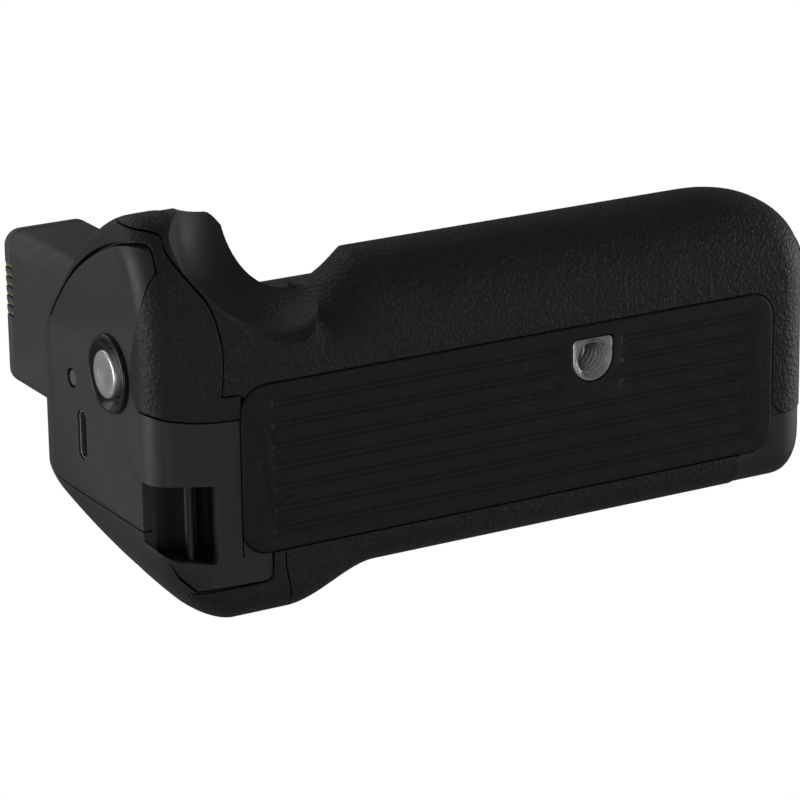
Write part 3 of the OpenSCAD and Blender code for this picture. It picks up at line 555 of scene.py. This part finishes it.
M = {
    "rubber": rubber("rubber_grain", (0.0135, 0.0135, 0.014)),
    "pad": rubber("rubber_pad", (0.0082, 0.0082, 0.0086), grain=0.25, rough=0.60),
    "shell": plastic("plastic_shell", (0.017, 0.017, 0.018), rough=0.55),
    "panel": plastic("plastic_panel", (0.0175, 0.0175, 0.0188), rough=0.54),
    "stalk": plastic("plastic_stalk", (0.036, 0.036, 0.039), rough=0.56, scale=6.0, spark=0.22),
    "dark": plastic("plastic_dark", (0.012, 0.012, 0.013), rough=0.45),
    "inner": plastic("plastic_inner", (0.040, 0.040, 0.043), rough=0.48),
    "gloss": plastic("plastic_gloss", (0.010, 0.010, 0.011), rough=0.20, spark=0.05, spec=0.55),
    "button": metal("metal_button", (0.80, 0.80, 0.82), rough=0.34, stretch=(0.4, 1, 1)),
    "bar": metal("metal_bar", (0.055, 0.055, 0.057), rough=0.42),
    "steel": metal("metal_steel", (0.62, 0.62, 0.63), rough=0.30),
    "spring": metal("metal_spring", (0.46, 0.46, 0.47), rough=0.36, stretch=(1, 0.2, 1)),
    "brass": metal("metal_brass", (0.60, 0.45, 0.20), rough=0.30),
    "gold": metal("metal_contact", (0.78, 0.57, 0.25), rough=0.24),
    "board": board_paint("board_mask"),
    "lens": plastic("lens_smoked", (0.060, 0.061, 0.064), rough=0.16, spark=0.03, spec=0.6),
    "lamp": plastic("lamp_body", (0.62, 0.58, 0.44), rough=0.30),
}


# Regions of skins and panels
SEAM_END, WRAP_END, WRAP_START, WRAP_LOW = 35.6, 4.2, 72.0, 0.9
RIM_X, RIM_Z = 46, 28
THUMB_EDGE = -29.6
grip_seam = smooth([(75.5, PAD_FRONT - 1), (75.0, 11), (75.1, 14.8), (75.9, 19.2), (77.3, 22.8),
                    (79.6, 25.6), (82.5, 30.0), (83.2, 32.1), (82.6, 33.6), (83.8, 34.4), (86.3, 35.0),
                    (92, SEAM_END)])
panel_line = smooth([(9.6, 42.2), (14.7, 38.6), (21.9, 31.3), (27.5, 22.6), (31.2, 14.4), (32.6, 9.4),
                     (32.4, 6.4), (31.4, 5.3), (30.2, 4.7), (27.4, 3.8), (24.0, 3.8), (20.3, 4.6),
                     (16.5, 6.3), (12.4, 7.6), (8.9, 7.9), (5.8, 7.6), (3.6, 4.9)], 2)
panel_centre = (6, 20)
skin_rim = smooth([(RIM_X, RIM_Z), (49.5, 24), (53, 15.6), (57, 13.4), (63, 13.2), (70, 13.5), (75, 14.6),
                   (78.5, 18), (79.2, 26)])
oval_edge = smooth([(66, 19.0), (71.5, 20.6), (74.9, 22.3), (76.9, 23.7), (78.7, 25.8), (80.4, 27.6),
                    (81.8, 29.8), (82.1, 32.3), (81.2, 34.4), (79.0, 36.2)], 2)


def oval_room(g):
    """Smooth face of the scoop under the hump, which the rubber leaves free."""
    return prism(shift(oval_edge, g) + [(79.0 + g, 60), (72.5, 60), (72.5, 25), (66, 22)], 1.2, FAR)


def front_profile(g):
    left = smooth([(-FAR, 7.5), (LEFT - 2, 7.5), (-47, 9.5), (-41, 25), (-36, RIM_Z), (20, RIM_Z),
                   (RIM_X, RIM_Z)], 2)
    top = shift(left[:-1] + skin_rim, 0, -g)
    return [(-FAR, -FAR)] + top + [(79.2, HEIGHT + 2), (FAR, HEIGHT + 2), (FAR, -FAR)]


wrap_line = smooth([(WRAP_START, WRAP_LOW), (76.5, 1.1), (80.5, 1.6), (85.5, 2.8), (88.6, 3.9),
                    (90.0, WRAP_END)])


def corner_plan(g):
    return ([(FAR, WRAP_END + g)] + shift(wrap_line, 0, g)[::-1] + [(WRAP_START, PAD_FRONT - 1 - 2 * g)]
            + shift(grip_seam, g, -g) + [(FAR, SEAM_END - g)])


def pad_end(g):
    """Way round the far end, past the parting line and along the pad's front edge."""
    return [(-FAR, FAR), (-FAR, PART_Y + g), (PAD_LEFT - 2.3, PART_Y + g), (PAD_LEFT, PART_Y + 2.3 + g),
            (PAD_LEFT + PAD_R, PAD_FRONT - PAD_R), (PAD_RIGHT - PAD_R, PAD_FRONT - PAD_R)]


def front_plan(g):
    return (shift(grip_seam, -g, g) + [(FAR, SEAM_END + g), (FAR, FAR)] + pad_end(g)
            + [(PAD_RIGHT + SEAM, PAD_FRONT - 1)])


def panel_solid(g, more=0.0):
    """Room of the end panel, grown by g, and by more at its upper corner."""
    line = grow(panel_line, panel_centre, g, more)
    outline = ([(9.4 + g, HEIGHT + 3)] + line
               + [(3 + g, 5.3 - g), (PART_Y - g, 5.3 - g), (PART_Y - g, HEIGHT + 3)])
    a = prism(outline, RIGHT - 3.7 - g, FAR, "x")
    wrap = ([(WRAP_START - g, PAD_REAR)] + shift(wrap_line, -g, g)
            + [(FAR, WRAP_END + g), (FAR, PART_Y - g), (87.2, PART_Y - g), (86.6, -22.3),
               (84.2 + g, -26.2 - g), (81.0 + g, -29.3 - g), (66.2 - g, -29.8 - g), (66.2 - g, PAD_REAR)])
    b = prism(wrap, -FAR, 6.3)
    return carve(a, (ADD, b))


def pad_space(g):
    return prism(rounded(PAD_W + 2 * g, PAD_D + 2 * g, PAD_R + g, 10, PAD_X, PAD_Y), -1, PAD_T + FIT)


def corners(points, radii, n=6):
    """Closed outline with each corner cut to a round of its own reach."""
    out = []
    for i, (p, r) in enumerate(zip(points, radii)):
        q, w = Vector(points[i - 1]) - Vector(p), Vector(points[(i + 1) % len(points)]) - Vector(p)
        a, c = Vector(p) + q.normalized() * r, Vector(p) + w.normalized() * r
        for k in range(n + 1):
            t = k / n
            out.append(tuple(a * (1 - t) ** 2 + Vector(p) * (2 * t * (1 - t)) + c * t ** 2))
    return out


def strap_outline(g):
    pts = [(76.8 - g, -10.5 + g), (86.0, -9.0 + g), (RIGHT + 4, -8.4 + g), (RIGHT + 4, -15.0 - g),
           (90.6, -17.9 - g), (86.2, -22.6 - g), (76.8 - g, -25.0 - g)]
    return corners(pts, [0.9, 1.0, 0.2, 0.2, 1.5, 2.6, 1.6])


def strap_space(g, low, top):
    return prism(strap_outline(g), low, top)


def strap_cut():
    """Mouth in the outer skin, with room behind it for the liner."""
    room = carve(strap_space(1.3, 2.0, 10.3), (AND, everything(right=RIGHT - WALL)))
    return carve(room, (ADD, strap_space(0, -FAR, 5.0)))


def mouth_outline(g):
    return rounded(MOUTH_W + 2 * g, MOUTH_H + 2 * g, MOUTH_R + g, 8, MOUTH_Y, MOUTH_Z)


def drawer_mouth(g):
    return prism(mouth_outline(g), LEFT - FAR, MOUTH_IN, "x")


def everything(below=FAR, front=FAR, rear=-FAR, right=FAR):
    """Room that is wide open but for the sides that are given."""
    return block(-FAR, right, rear, front, -FAR, below)


def grip_form(d, n=22, sink=0.0):
    return carve(body_form(d, n), (CUT, [finger_channel(d + sink), finger_bowl(d + sink)]))


# Forms of the whole grip: plastic, outer face of the rubber, inner face of the rubber, inside of the wall
G0 = grip_form(0.0, sink=SINK)
G_RUBBER = grip_form(-PROUD)
G_SKIN = grip_form(SKIN)
G_WALL = grip_form(WALL, COARSE)


# Rubber skins
def skin():
    return carve(twin(G_RUBBER), (CUT, twin(G_SKIN)), (CUT, pad_space(PAD_GAP)),
                 (AND, everything(below=PLATE_Z - FIT)))


groove_line = [(63.75, PAD_REAR - 0.1), (63.8, -27.6), (62.6, -33.5), (62.0, -38), (62.0, -FAR)]


def rear_room(g):
    """Room of the rear skin: its end towards the thumb rest leans with the groove."""
    face = corners([(-33 - g, -40), (80, -40), (80, 26 + g), (-33 - g, 26 + g)], [0.1, 0.1, 0.1, 4.0])
    plan = [(-FAR, PAD_REAR - 0.1)] + shift(groove_line, g) + [(-FAR, -FAR)]
    return carve(prism(face, -FAR, PAD_REAR - 0.1, "y"), (AND, prism(plan, -FAR, FAR)))


def thumb_room(g):
    """Room of the thumb skin, with a tongue along the groove as far as the pad."""
    face = corners([(50, -40), (82 + g, -40), (82 + g, 26 + g), (50, 26 + g)], [0.1, 0.1, 4.0, 0.1])
    edge = smooth([(66.1 + g, PAD_REAR - 0.1), (66.15 + g, -27.0), (66.5 + g, THUMB_EDGE + g),
                   (69.5, THUMB_EDGE - 0.2 + g), (84, THUMB_EDGE + g)])
    plan = edge + [(FAR, THUMB_EDGE + g), (FAR, -FAR)] + shift(groove_line, -g)[::-1]
    return carve(prism(face, -FAR, PAD_REAR - 0.1, "y"), (AND, prism(plan, -FAR, FAR)))


SKIN_FORM = skin()
HALF = SEAM / 2
ob = carve(twin(SKIN_FORM), (AND, prism(front_plan(HALF), -FAR, FAR)),
           (AND, prism(front_profile(HALF), -FAR, FAR, "y")),
           (CUT, drawer_mouth(SEAM)), (CUT, oval_room(0.08)))
finish_piece(ob, "front_grip_skin", M["rubber"], "housing", ["front_grip"])
ob = carve(twin(SKIN_FORM), (AND, prism(corner_plan(HALF), -FAR, FAR)),
           (AND, prism(front_profile(HALF), -FAR, FAR, "y")),
           (CUT, panel_solid(HALF, 0.5)))
finish_piece(ob, "corner_grip_skin", M["rubber"], "housing", ["corner_grip"])
ob = carve(twin(SKIN_FORM), (AND, rear_room(-HALF)))
finish_piece(ob, "rear_grip_skin", M["rubber"], "housing", ["rear_grip"])
ob = carve(twin(SKIN_FORM), (AND, thumb_room(-HALF)))
finish_piece(ob, "thumb_grip_skin", M["rubber"], "housing", ["thumb_grip"])


# Housing
def pockets():
    """What the front and corner rubber take out of the shells."""
    plan = [(WRAP_START, WRAP_LOW)] + wrap_line + [(FAR, WRAP_END), (FAR, FAR)] + pad_end(0)
    return carve(prism(plan, -FAR, FAR), (AND, prism(front_profile(0), -FAR, FAR, "y")),
                 (CUT, grip_form(SKIN + FIT, COARSE)), (CUT, oval_room(0)))


def rear_rooms():
    return carve(rear_room(0.02), (ADD, thumb_room(0.02)))


def shared():
    return [twin(G_WALL), pad_space(FIT), panel_solid(HALF), drawer_mouth(SEAM), strap_cut()]


socket_seat = rod("z", 0, 0, 5.5, -1, 4)
wheel_slot = block(-11.2, 11.2, 0, FAR, 35.3, PLATE_Z)
cam_recess = rod("x", LOCK_Y, LOCK_Z, 9.5, -46.2, -44.0)
panel_corner = block(84.2, FAR, -FAR, PART_Y + 2, 5.3, FAR)
shell = carve(twin(G0), (AND, everything(below=PLATE_Z - FIT, rear=PART_Y + PART_GAP)),
              (CUT, pockets()), (CUT, shared()),
              (CUT, [socket_seat, wheel_slot, cam_recess, panel_corner]))
finish_piece(shell, "front_shell_skin", M["shell"], "housing", ["front_shell"])
rear_pocket = carve(rear_rooms(), (CUT, grip_form(SKIN + FIT, COARSE)))
shell = carve(twin(G0), (AND, everything(below=PLATE_Z - FIT, front=PART_Y - PART_GAP)),
              (CUT, rear_pocket), (CUT, shared()))
finish_piece(shell, "rear_shell_skin", M["shell"], "housing", ["rear_shell"])


def usb_outline(w, hgt):
    return rounded(w, hgt, hgt / 2 - FIT, 8, USB_Y, USB_Z)


button_hole = rod("x", BUTTON_Y, BUTTON_Z, 6.3, 60, FAR)
lamp_hole = rod("x", LAMP_Y, LAMP_Z, 1.85, 80, FAR, 40)
usb_hole = prism(usb_outline(9.2, 3.4), 80, FAR, "x")
panel = carve(twin(G0), (AND, panel_solid(-HALF)), (AND, everything(below=PLATE_Z - FIT)),
              (CUT, twin(G_WALL)), (CUT, pad_space(PAD_GAP)), (CUT, rear_rooms()), (CUT, strap_cut()),
              (CUT, [button_hole, lamp_hole, usb_hole]))
finish_piece(panel, "end_panel_skin", M["panel"], "housing", ["end_panel"])
stalk_room = rounded(STALK_W + 0.2, STALK_D + 0.2, 3.3, 10, STALK_X, STALK_Y)
cushion_room = rounded(CUSHION_W + 0.2, CUSHION_D + 0.2, 4, 10, CUSHION_X, CUSHION_Y)
plate = carve(twin(G0), (AND, block(-FAR, FAR, -FAR, FAR, PLATE_Z, HEIGHT + 1)),
              (CUT, prism(stalk_room, PLATE_Z - 1, HEIGHT + 2)),
              (CUT, prism(cushion_room, 41.9, HEIGHT + 2)),
              (CUT, rod("z", 0, 0, 5.1, 30, 60)), (CUT, rod("z", PIN_X, PIN_Y, 2.0, 30, 60)),
              (CUT, [rod("z", x, y, 1.3, 30, 60, 32) for x, y in TOP_SCREWS]),
              (CUT, [rod("z", x, y, 2.3, 41.2, 60, 40) for x, y in TOP_SCREWS]))
finish_piece(plate, "top_plate_skin", M["shell"], "housing", ["top_plate"])
cap = carve(twin(G0), (AND, prism(mouth_outline(0), -FAR, MOUTH_IN - 0.4, "x")),
            (CUT, rod("x", LOCK_Y, LOCK_Z, 2.55, -FAR, 0)))
finish_piece(cap, "drawer_cap_skin", M["panel"], "drawer", ["drawer_cap"])

# Strap loop
pocket = carve(strap_space(1.2, 2.1, 10.2), (AND, everything(right=RIGHT - WALL - FIT)),
               (CUT, strap_space(0.05, -1, 9.0)))
finish_piece(pocket, "strap_pocket_skin", M["dark"], "housing", ["strap_pocket"])

# Bottom pad
rings = []
for z, inset in ((PAD_T, 0.05), (0.5, 0.05), (0.3, 0.08), (0.12, 0.2), (0.03, 0.4), (0.0, 0.75)):
    outline = rounded(PAD_W - 2 * inset, PAD_D - 2 * inset, PAD_R - inset, 12, PAD_X, PAD_Y)
    rings.append([(x, y, z) for x, y in outline])
pad = loft("pad", rings)


def socket_outline(g, n=40):
    """Round to the rear and square to the front, with softened corners."""
    r, top, c = SOCKET_R + g, SOCKET_FRONT + g, SOCKET_CORNER
    pts = []
    for k in range(n + 1):
        a = math.pi + math.pi * k / n
        pts.append((r * math.cos(a), r * math.sin(a)))
    for k in range(7):
        a = math.pi / 2 * k / 6
        pts.append((r - c + c * math.cos(a), top - c + c * math.sin(a)))
    for k in range(7):
        a = math.pi / 2 + math.pi / 2 * k / 6
        pts.append((-r + c + c * math.cos(a), top - c + c * math.sin(a)))
    return pts


def groove(x0, x1, y):
    """Shallow round-bottomed channel that runs out softly at both ends."""
    rows = []
    for k in range(33):
        u = k / 32
        x = x0 + (x1 - x0) * (0.5 - 0.5 * math.cos(math.pi * u))
        e = min(1.0, min(x - x0, x1 - x) / GROOVE_RUN)
        depth = GROOVE_DEPTH * math.sqrt(max(0.0, 1 - (1 - e) ** 2)) + 0.002
        bottom = [(x, y - GROOVE_HALF * math.cos(a), depth * math.sin(a) - 0.001)
                  for a in [math.pi * j / 10 for j in range(11)]]
        rows.append([(x, y - GROOVE_HALF, -0.5)] + bottom + [(x, y + GROOVE_HALF, -0.5)])
    return loft("groove", rows)


cuts = []
start, end = PAD_LEFT + GROOVE_INSET, PAD_RIGHT - GROOVE_INSET
for k in range(1, GROOVES + 1):
    gy = PAD_REAR + PAD_D * k / (GROOVES + 1)
    if abs(gy) < GROOVE_CLEAR:
        cuts += [groove(start, -GROOVE_CLEAR, gy), groove(GROOVE_CLEAR, end, gy)]
    else:
        cuts.append(groove(start, end, gy))
pad = carve(pad, (CUT, cuts), (CUT, prism(socket_outline(0.15), -1, 3)))
finish_piece(pad, "bottom_pad_skin", M["pad"], "housing", ["bottom_pad"], 62)


# Threads
def thread_wall(major, minor, pitch, z0, z1, n=64, per=12):
    """Rows of points of a V thread between two heights."""
    rows = []
    count = int((z1 - z0) / pitch * per)
    for i in range(count + 1):
        z = z0 + (z1 - z0) * i / count
        row = []
        for k in range(n):
            ph = (z / pitch - k / n) % 1.0
            v = abs(ph * 2 - 1)
            v = min(1.0, max(0.0, (v - 0.12) / 0.76))
            r = minor + (major - minor) * v
            a = 2 * math.pi * k / n
            row.append((r * math.cos(a), r * math.sin(a), z))
        rows.append(row)
    return rows


def circle_row(r, z, n=64):
    return [(r * math.cos(a), r * math.sin(a), z) for a in turns(n)]


plug = loft("plug", [circle_row(3.75, -0.5), circle_row(3.75, 0.0), circle_row(3.1, 0.7)]
            + thread_wall(3.3, 2.75, PITCH, 0.75, 7.4) + [circle_row(2.75, 7.5)])
rim = []
for z, g in ((1.7, -0.02), (0.25, -0.02), (0.08, -0.1), (0.0, -0.28)):
    rim.append([(x, y, z) for x, y in socket_outline(g)])
socket = carve(loft("socket", rim), (ADD, rod("z", 0, 0, 5.4, 1.6, 3.1)),
               (ADD, rod("z", 0, 0, 9.0, 3.1, 4.9)), (ADD, rod("z", 0, 0, 5.4, 3.1, 10.5)), (CUT, plug))
finish_piece(socket, "tripod_socket_piece", M["steel"], "housing", ["tripod_socket"], 28)
stud = loft("stud", [circle_row(5.0, 35.7), circle_row(5.0, 40.3), circle_row(4.85, 40.45),
                     circle_row(2.6, 40.45), circle_row(2.6, 43.3), circle_row(2.6, 43.6)]
            + thread_wall(3.17, 2.62, PITCH, 43.7, 47.7)
            + [circle_row(2.6, 47.8), circle_row(2.1, 48.4), circle_row(1.7, 48.5)])
finish_piece(stud, "attachment_screw_piece", M["steel"], "wheel", ["attachment_screw"], 28)

# Shutter button, knob, wheel
button_axis = (0.0, BUTTON_Y, BUTTON_Z)
collar = lathe("collar", [(2.3, 85.6), (6.2, 85.6), (6.2, 89.05)]
               + fillet(6.95, 89.05, 7.1, 89.2, 7.1, 89.05)
               + fillet(7.1, 89.65, 6.7, 90.1, 7.1, 90.1) + fillet(6.45, 90.1, 6.3, 89.98, 6.35, 90.1)
               + [(5.2, 88.9), (4.9, 88.68), (4.5, 88.6), (4.35, 88.35), (4.35, 87.2), (2.3, 87.2),
                  (2.3, 85.6)], "x", button_axis)
finish_piece(collar, "shutter_collar_piece", M["gloss"], "housing", ["shutter_collar"], 34)
head = [(0.0, 83.6), (2.25, 83.6), (2.25, 88.4), (4.3, 88.4), (4.3, 89.9)]
head += fillet(4.3, 89.9, 3.85, 90.42, 4.3, 90.38)
head += [(3.2, 90.44), (2.4, 90.37), (1.4, 90.28), (0.0, 90.24)]
button = lathe("button", head, "x", button_axis)
finish_piece(button, "shutter_button_piece", M["button"], "shutter", ["shutter_button"], 34)
knob = lathe("knob", [(0.0, -44.3), (2.5, -44.3), (2.5, -50.3), (6.2, -50.3)]
             + fillet(6.2, -50.3, 6.7, -50.8, 6.7, -50.3) + fillet(6.7, -54.2, 6.0, -55.0, 6.7, -55.0)
             + [(5.6, -55.0), (5.3, -54.8), (0.0, -54.7)], "x", (0, LOCK_Y, LOCK_Z))
knob = carve(knob, (CUT, block(-56, -53.8, 5.2, 6.8, 11.8, 24.2)),
             (CUT, [rod("x", LOCK_Y + 7.0 * math.cos(a), LOCK_Z + 7.0 * math.sin(a), 0.55, -56, -51.2, 16)
                    for a in turns(KNOB_FLUTES)]))
finish_piece(knob, "lock_knob_piece", M["gloss"], "lock", ["lock_knob"], 34)
wheel = lathe("wheel", [(5.06, 35.6), (11.6, 35.6), (11.9, 35.75)]
              + fillet(12.9, 35.75, 13.4, 36.25, 13.4, 35.75)
              + fillet(13.4, 39.35, 12.9, 39.85, 13.4, 39.85)
              + [(11.9, 39.85), (11.6, 40.0), (5.06, 40.0), (5.06, 35.6)], "z", (0, 0, 0), 144)
wheel = carve(wheel, (CUT, [rod("z", 13.75 * math.cos(a), 13.75 * math.sin(a), 0.85, 35, 41, 14)
                            for a in turns(WHEEL_FLUTES)]))
finish_piece(wheel, "thumbwheel_piece", M["dark"], "wheel", ["thumbwheel"], 34)


# Stalk
def stalk_ring(z, inset):
    outline = rounded(STALK_W - 2 * inset, STALK_D - 2 * inset, 3.2 - inset * 0.6, 10, STALK_X, STALK_Y)
    return [(x, y, z) for x, y in outline]


def contact_cuts(lo):
    """Slots of the contacts on the top edge, from a height up."""
    middles = [-2 + CONTACT_PITCH * k for k in range(CONTACTS)]
    return [block(73.5, 80, y - CONTACT_HALF, y + CONTACT_HALF, lo, 95) for y in middles]


tube = loft("tube", [stalk_ring(37.8, -1.6), stalk_ring(40.5, -1.6), stalk_ring(40.5, 0),
                     stalk_ring(88.3, 0), stalk_ring(88.5, 0.15)])
bore = rounded(STALK_W - 3.6, STALK_D - 3.6, 1.5, 8, STALK_X, STALK_Y)
tube = carve(tube, (CUT, prism(bore, 30, 95)), (CUT, contact_cuts(87.5)))
finish_piece(tube, "battery_stalk_piece", M["stalk"], "housing", ["battery_stalk"])
rings = [stalk_ring(85.5, 1.95), stalk_ring(88.6, 1.95), stalk_ring(88.6, 0.15), stalk_ring(88.8, 0)]
for a in [math.pi / 2 * k / 6 for k in range(7)]:
    rise = STALK_ROUND * math.sin(a)
    rings.append(stalk_ring(STALK_TOP - STALK_ROUND + rise, STALK_ROUND - STALK_ROUND * math.cos(a)))
lid = loft("lid", rings)
lid = carve(lid, (CUT, contact_cuts(85)))
finish_piece(lid, "stalk_cap_piece", M["stalk"], "housing", ["stalk_cap"])

# Top cushion
rings = []
for z, inset in ((42.0, 0.0), (43.0, 0.0), (43.18, 0.08), (43.27, 0.25), (43.3, 0.5)):
    outline = rounded(CUSHION_W - 2 * inset, CUSHION_D - 2 * inset, 4 - inset, 10, CUSHION_X, CUSHION_Y)
    rings.append([(x, y, z) for x, y in outline])
cushion = carve(loft("cushion", rings), (CUT, rod("z", 0, 0, 5.3, 40, 46)),
                (CUT, rod("z", PIN_X, PIN_Y, 2.2, 40, 46, 40)))
finish_piece(cushion, "top_cushion_piece", M["pad"], "housing", ["top_cushion"])

for ob in (G0, G_RUBBER, G_SKIN, G_WALL, SKIN_FORM):
    bpy.data.objects.remove(ob)

# Solids that stay
kept = {
    "bar": ["strap_bar"],
    "spring": ["shutter_clip", "lock_cam"],
    "dark": ["shutter_switch", "usb_tongue"],
    "steel": ["usb_shell", "board_screws", "end_board_screws", "cap_screws", "locating_pin", "top_screws",
              "base_screws"],
    "lamp": ["charge_led"],
    "lens": ["light_pipe"],
    "board": ["end_board", "main_board"],
    "gold": ["stalk_contacts", "chamber_contacts", "drawer_contacts"],
    "inner": ["battery_chamber", "battery_drawer"],
    "brass": ["screw_bush"],
}
for look, names in kept.items():
    for name in names:
        mesh = nodes[name].data
        mesh.materials.clear()
        mesh.materials.append(M[look])
        mesh.polygons.foreach_set("use_smooth", [True] * len(mesh.polygons))
        mesh.set_sharp_from_angle(angle=math.radians(30))

# Stage
# The grip is seen from below, so the floor shows from above only, and only to the camera.
FLOOR_HALF, FLOOR_Z = 3, -0.0002
corner_signs = ((-1, -1), (1, -1), (1, 1), (-1, 1))
me = bpy.data.meshes.new("floor")
me.from_pydata([(x * FLOOR_HALF, y * FLOOR_HALF, FLOOR_Z) for x, y in corner_signs], [], [(0, 1, 2, 3)])
floor = bpy.data.objects.new("floor", me)
bpy.context.scene.collection.objects.link(floor)
m, t, b = node_material("floor_paint")
v = mm_coords(t)
patches = ramp(t, noise(t, v, 0.02, 3.0), [(0.4, 0.0), (0.6, 1.0)])
link(t, mix_color(t, patches, (0.80, 0.80, 0.80), (0.83, 0.83, 0.83)), b.inputs["Base Color"])
b.inputs["Roughness"].default_value = 0.7
clear = t.nodes.new("ShaderNodeBsdfTransparent")
geo = t.nodes.new("ShaderNodeNewGeometry")
ray = t.nodes.new("ShaderNodeLightPath")
indirect = math_node(t, "SUBTRACT", 1.0, ray.outputs["Is Camera Ray"])
hide = math_node(t, "MAXIMUM", geo.outputs["Backfacing"], indirect)
mixer = t.nodes.new("ShaderNodeMixShader")
link(t, hide, mixer.inputs[0])
link(t, b.outputs["BSDF"], mixer.inputs[1])
link(t, clear.outputs["BSDF"], mixer.inputs[2])
link(t, mixer.outputs["Shader"], t.nodes["Material Output"].inputs["Surface"])
me.materials.append(m)

world = bpy.data.worlds.new("studio")
bpy.context.scene.world = world
world.use_nodes = True
t = world.node_tree
t.nodes.clear()
ray = t.nodes.new("ShaderNodeLightPath")
white = add(t, "ShaderNodeBackground", Strength=1.0)
white.inputs["Color"].default_value = (1, 1, 1, 1)
dim = add(t, "ShaderNodeBackground", Strength=0.16)
dim.inputs["Color"].default_value = (1, 1, 1, 1)
mixer = t.nodes.new("ShaderNodeMixShader")
link(t, ray.outputs["Is Camera Ray"], mixer.inputs[0])
link(t, dim.outputs["Background"], mixer.inputs[1])
link(t, white.outputs["Background"], mixer.inputs[2])
out = t.nodes.new("ShaderNodeOutputWorld")
link(t, mixer.outputs["Shader"], out.inputs["Surface"])

# Camera fitted to the photograph
RIGHT_V = Vector((-0.86556671, -0.01274238, -0.50063151))
UP_V = Vector((-0.1650093, 0.95110818, 0.26108459))
BACK_V = Vector((0.47282788, 0.30859498, -0.82535019))
CAMERA_AT = (0.36317298, 0.20972154, -0.56339723)
FOCAL_PIXELS, PHOTO_PIXELS, SENSOR = 3869.03, 800, 36.0
cam_data = bpy.data.cameras.new("camera")
cam_data.sensor_width = SENSOR
cam_data.lens = FOCAL_PIXELS / PHOTO_PIXELS * SENSOR
cam_data.clip_start, cam_data.clip_end = 0.01, 20
camera = bpy.data.objects.new("camera", cam_data)
bpy.context.scene.collection.objects.link(camera)
turn = Matrix((RIGHT_V, UP_V, BACK_V)).transposed().to_4x4()
camera.matrix_world = Matrix.Translation(CAMERA_AT) @ turn
bpy.context.scene.camera = camera


def softbox(name, right, up, back, dist, size_x, size_y, watts):
    """Area light placed by directions in the picture and turned to the part's middle."""
    aim = Vector((0.018, 0.0, 0.022))
    d = (RIGHT_V * right + UP_V * up + BACK_V * back).normalized()
    data = bpy.data.lights.new(name, "AREA")
    data.shape, data.size, data.size_y, data.energy = "RECTANGLE", size_x, size_y, watts
    ob = bpy.data.objects.new(name, data)
    bpy.context.scene.collection.objects.link(ob)
    ob.location = aim + d * dist
    ob.rotation_euler = d.to_track_quat("Z", "Y").to_euler()
    ob.visible_camera = False


softbox("key_left", -1.0, -0.10, 0.42, 0.8, 0.5, 0.6, 3.4)
softbox("rim_top", -0.75, 1.0, -0.45, 0.8, 0.6, 0.5, 0.8)
softbox("fill_front", 0.45, -0.45, 1.0, 1.0, 0.7, 0.5, 1.0)
softbox("side_right", 1.0, 0.1, -0.45, 0.8, 0.3, 0.5, 2.0)

bpy.context.scene.view_settings.view_transform = "Standard"
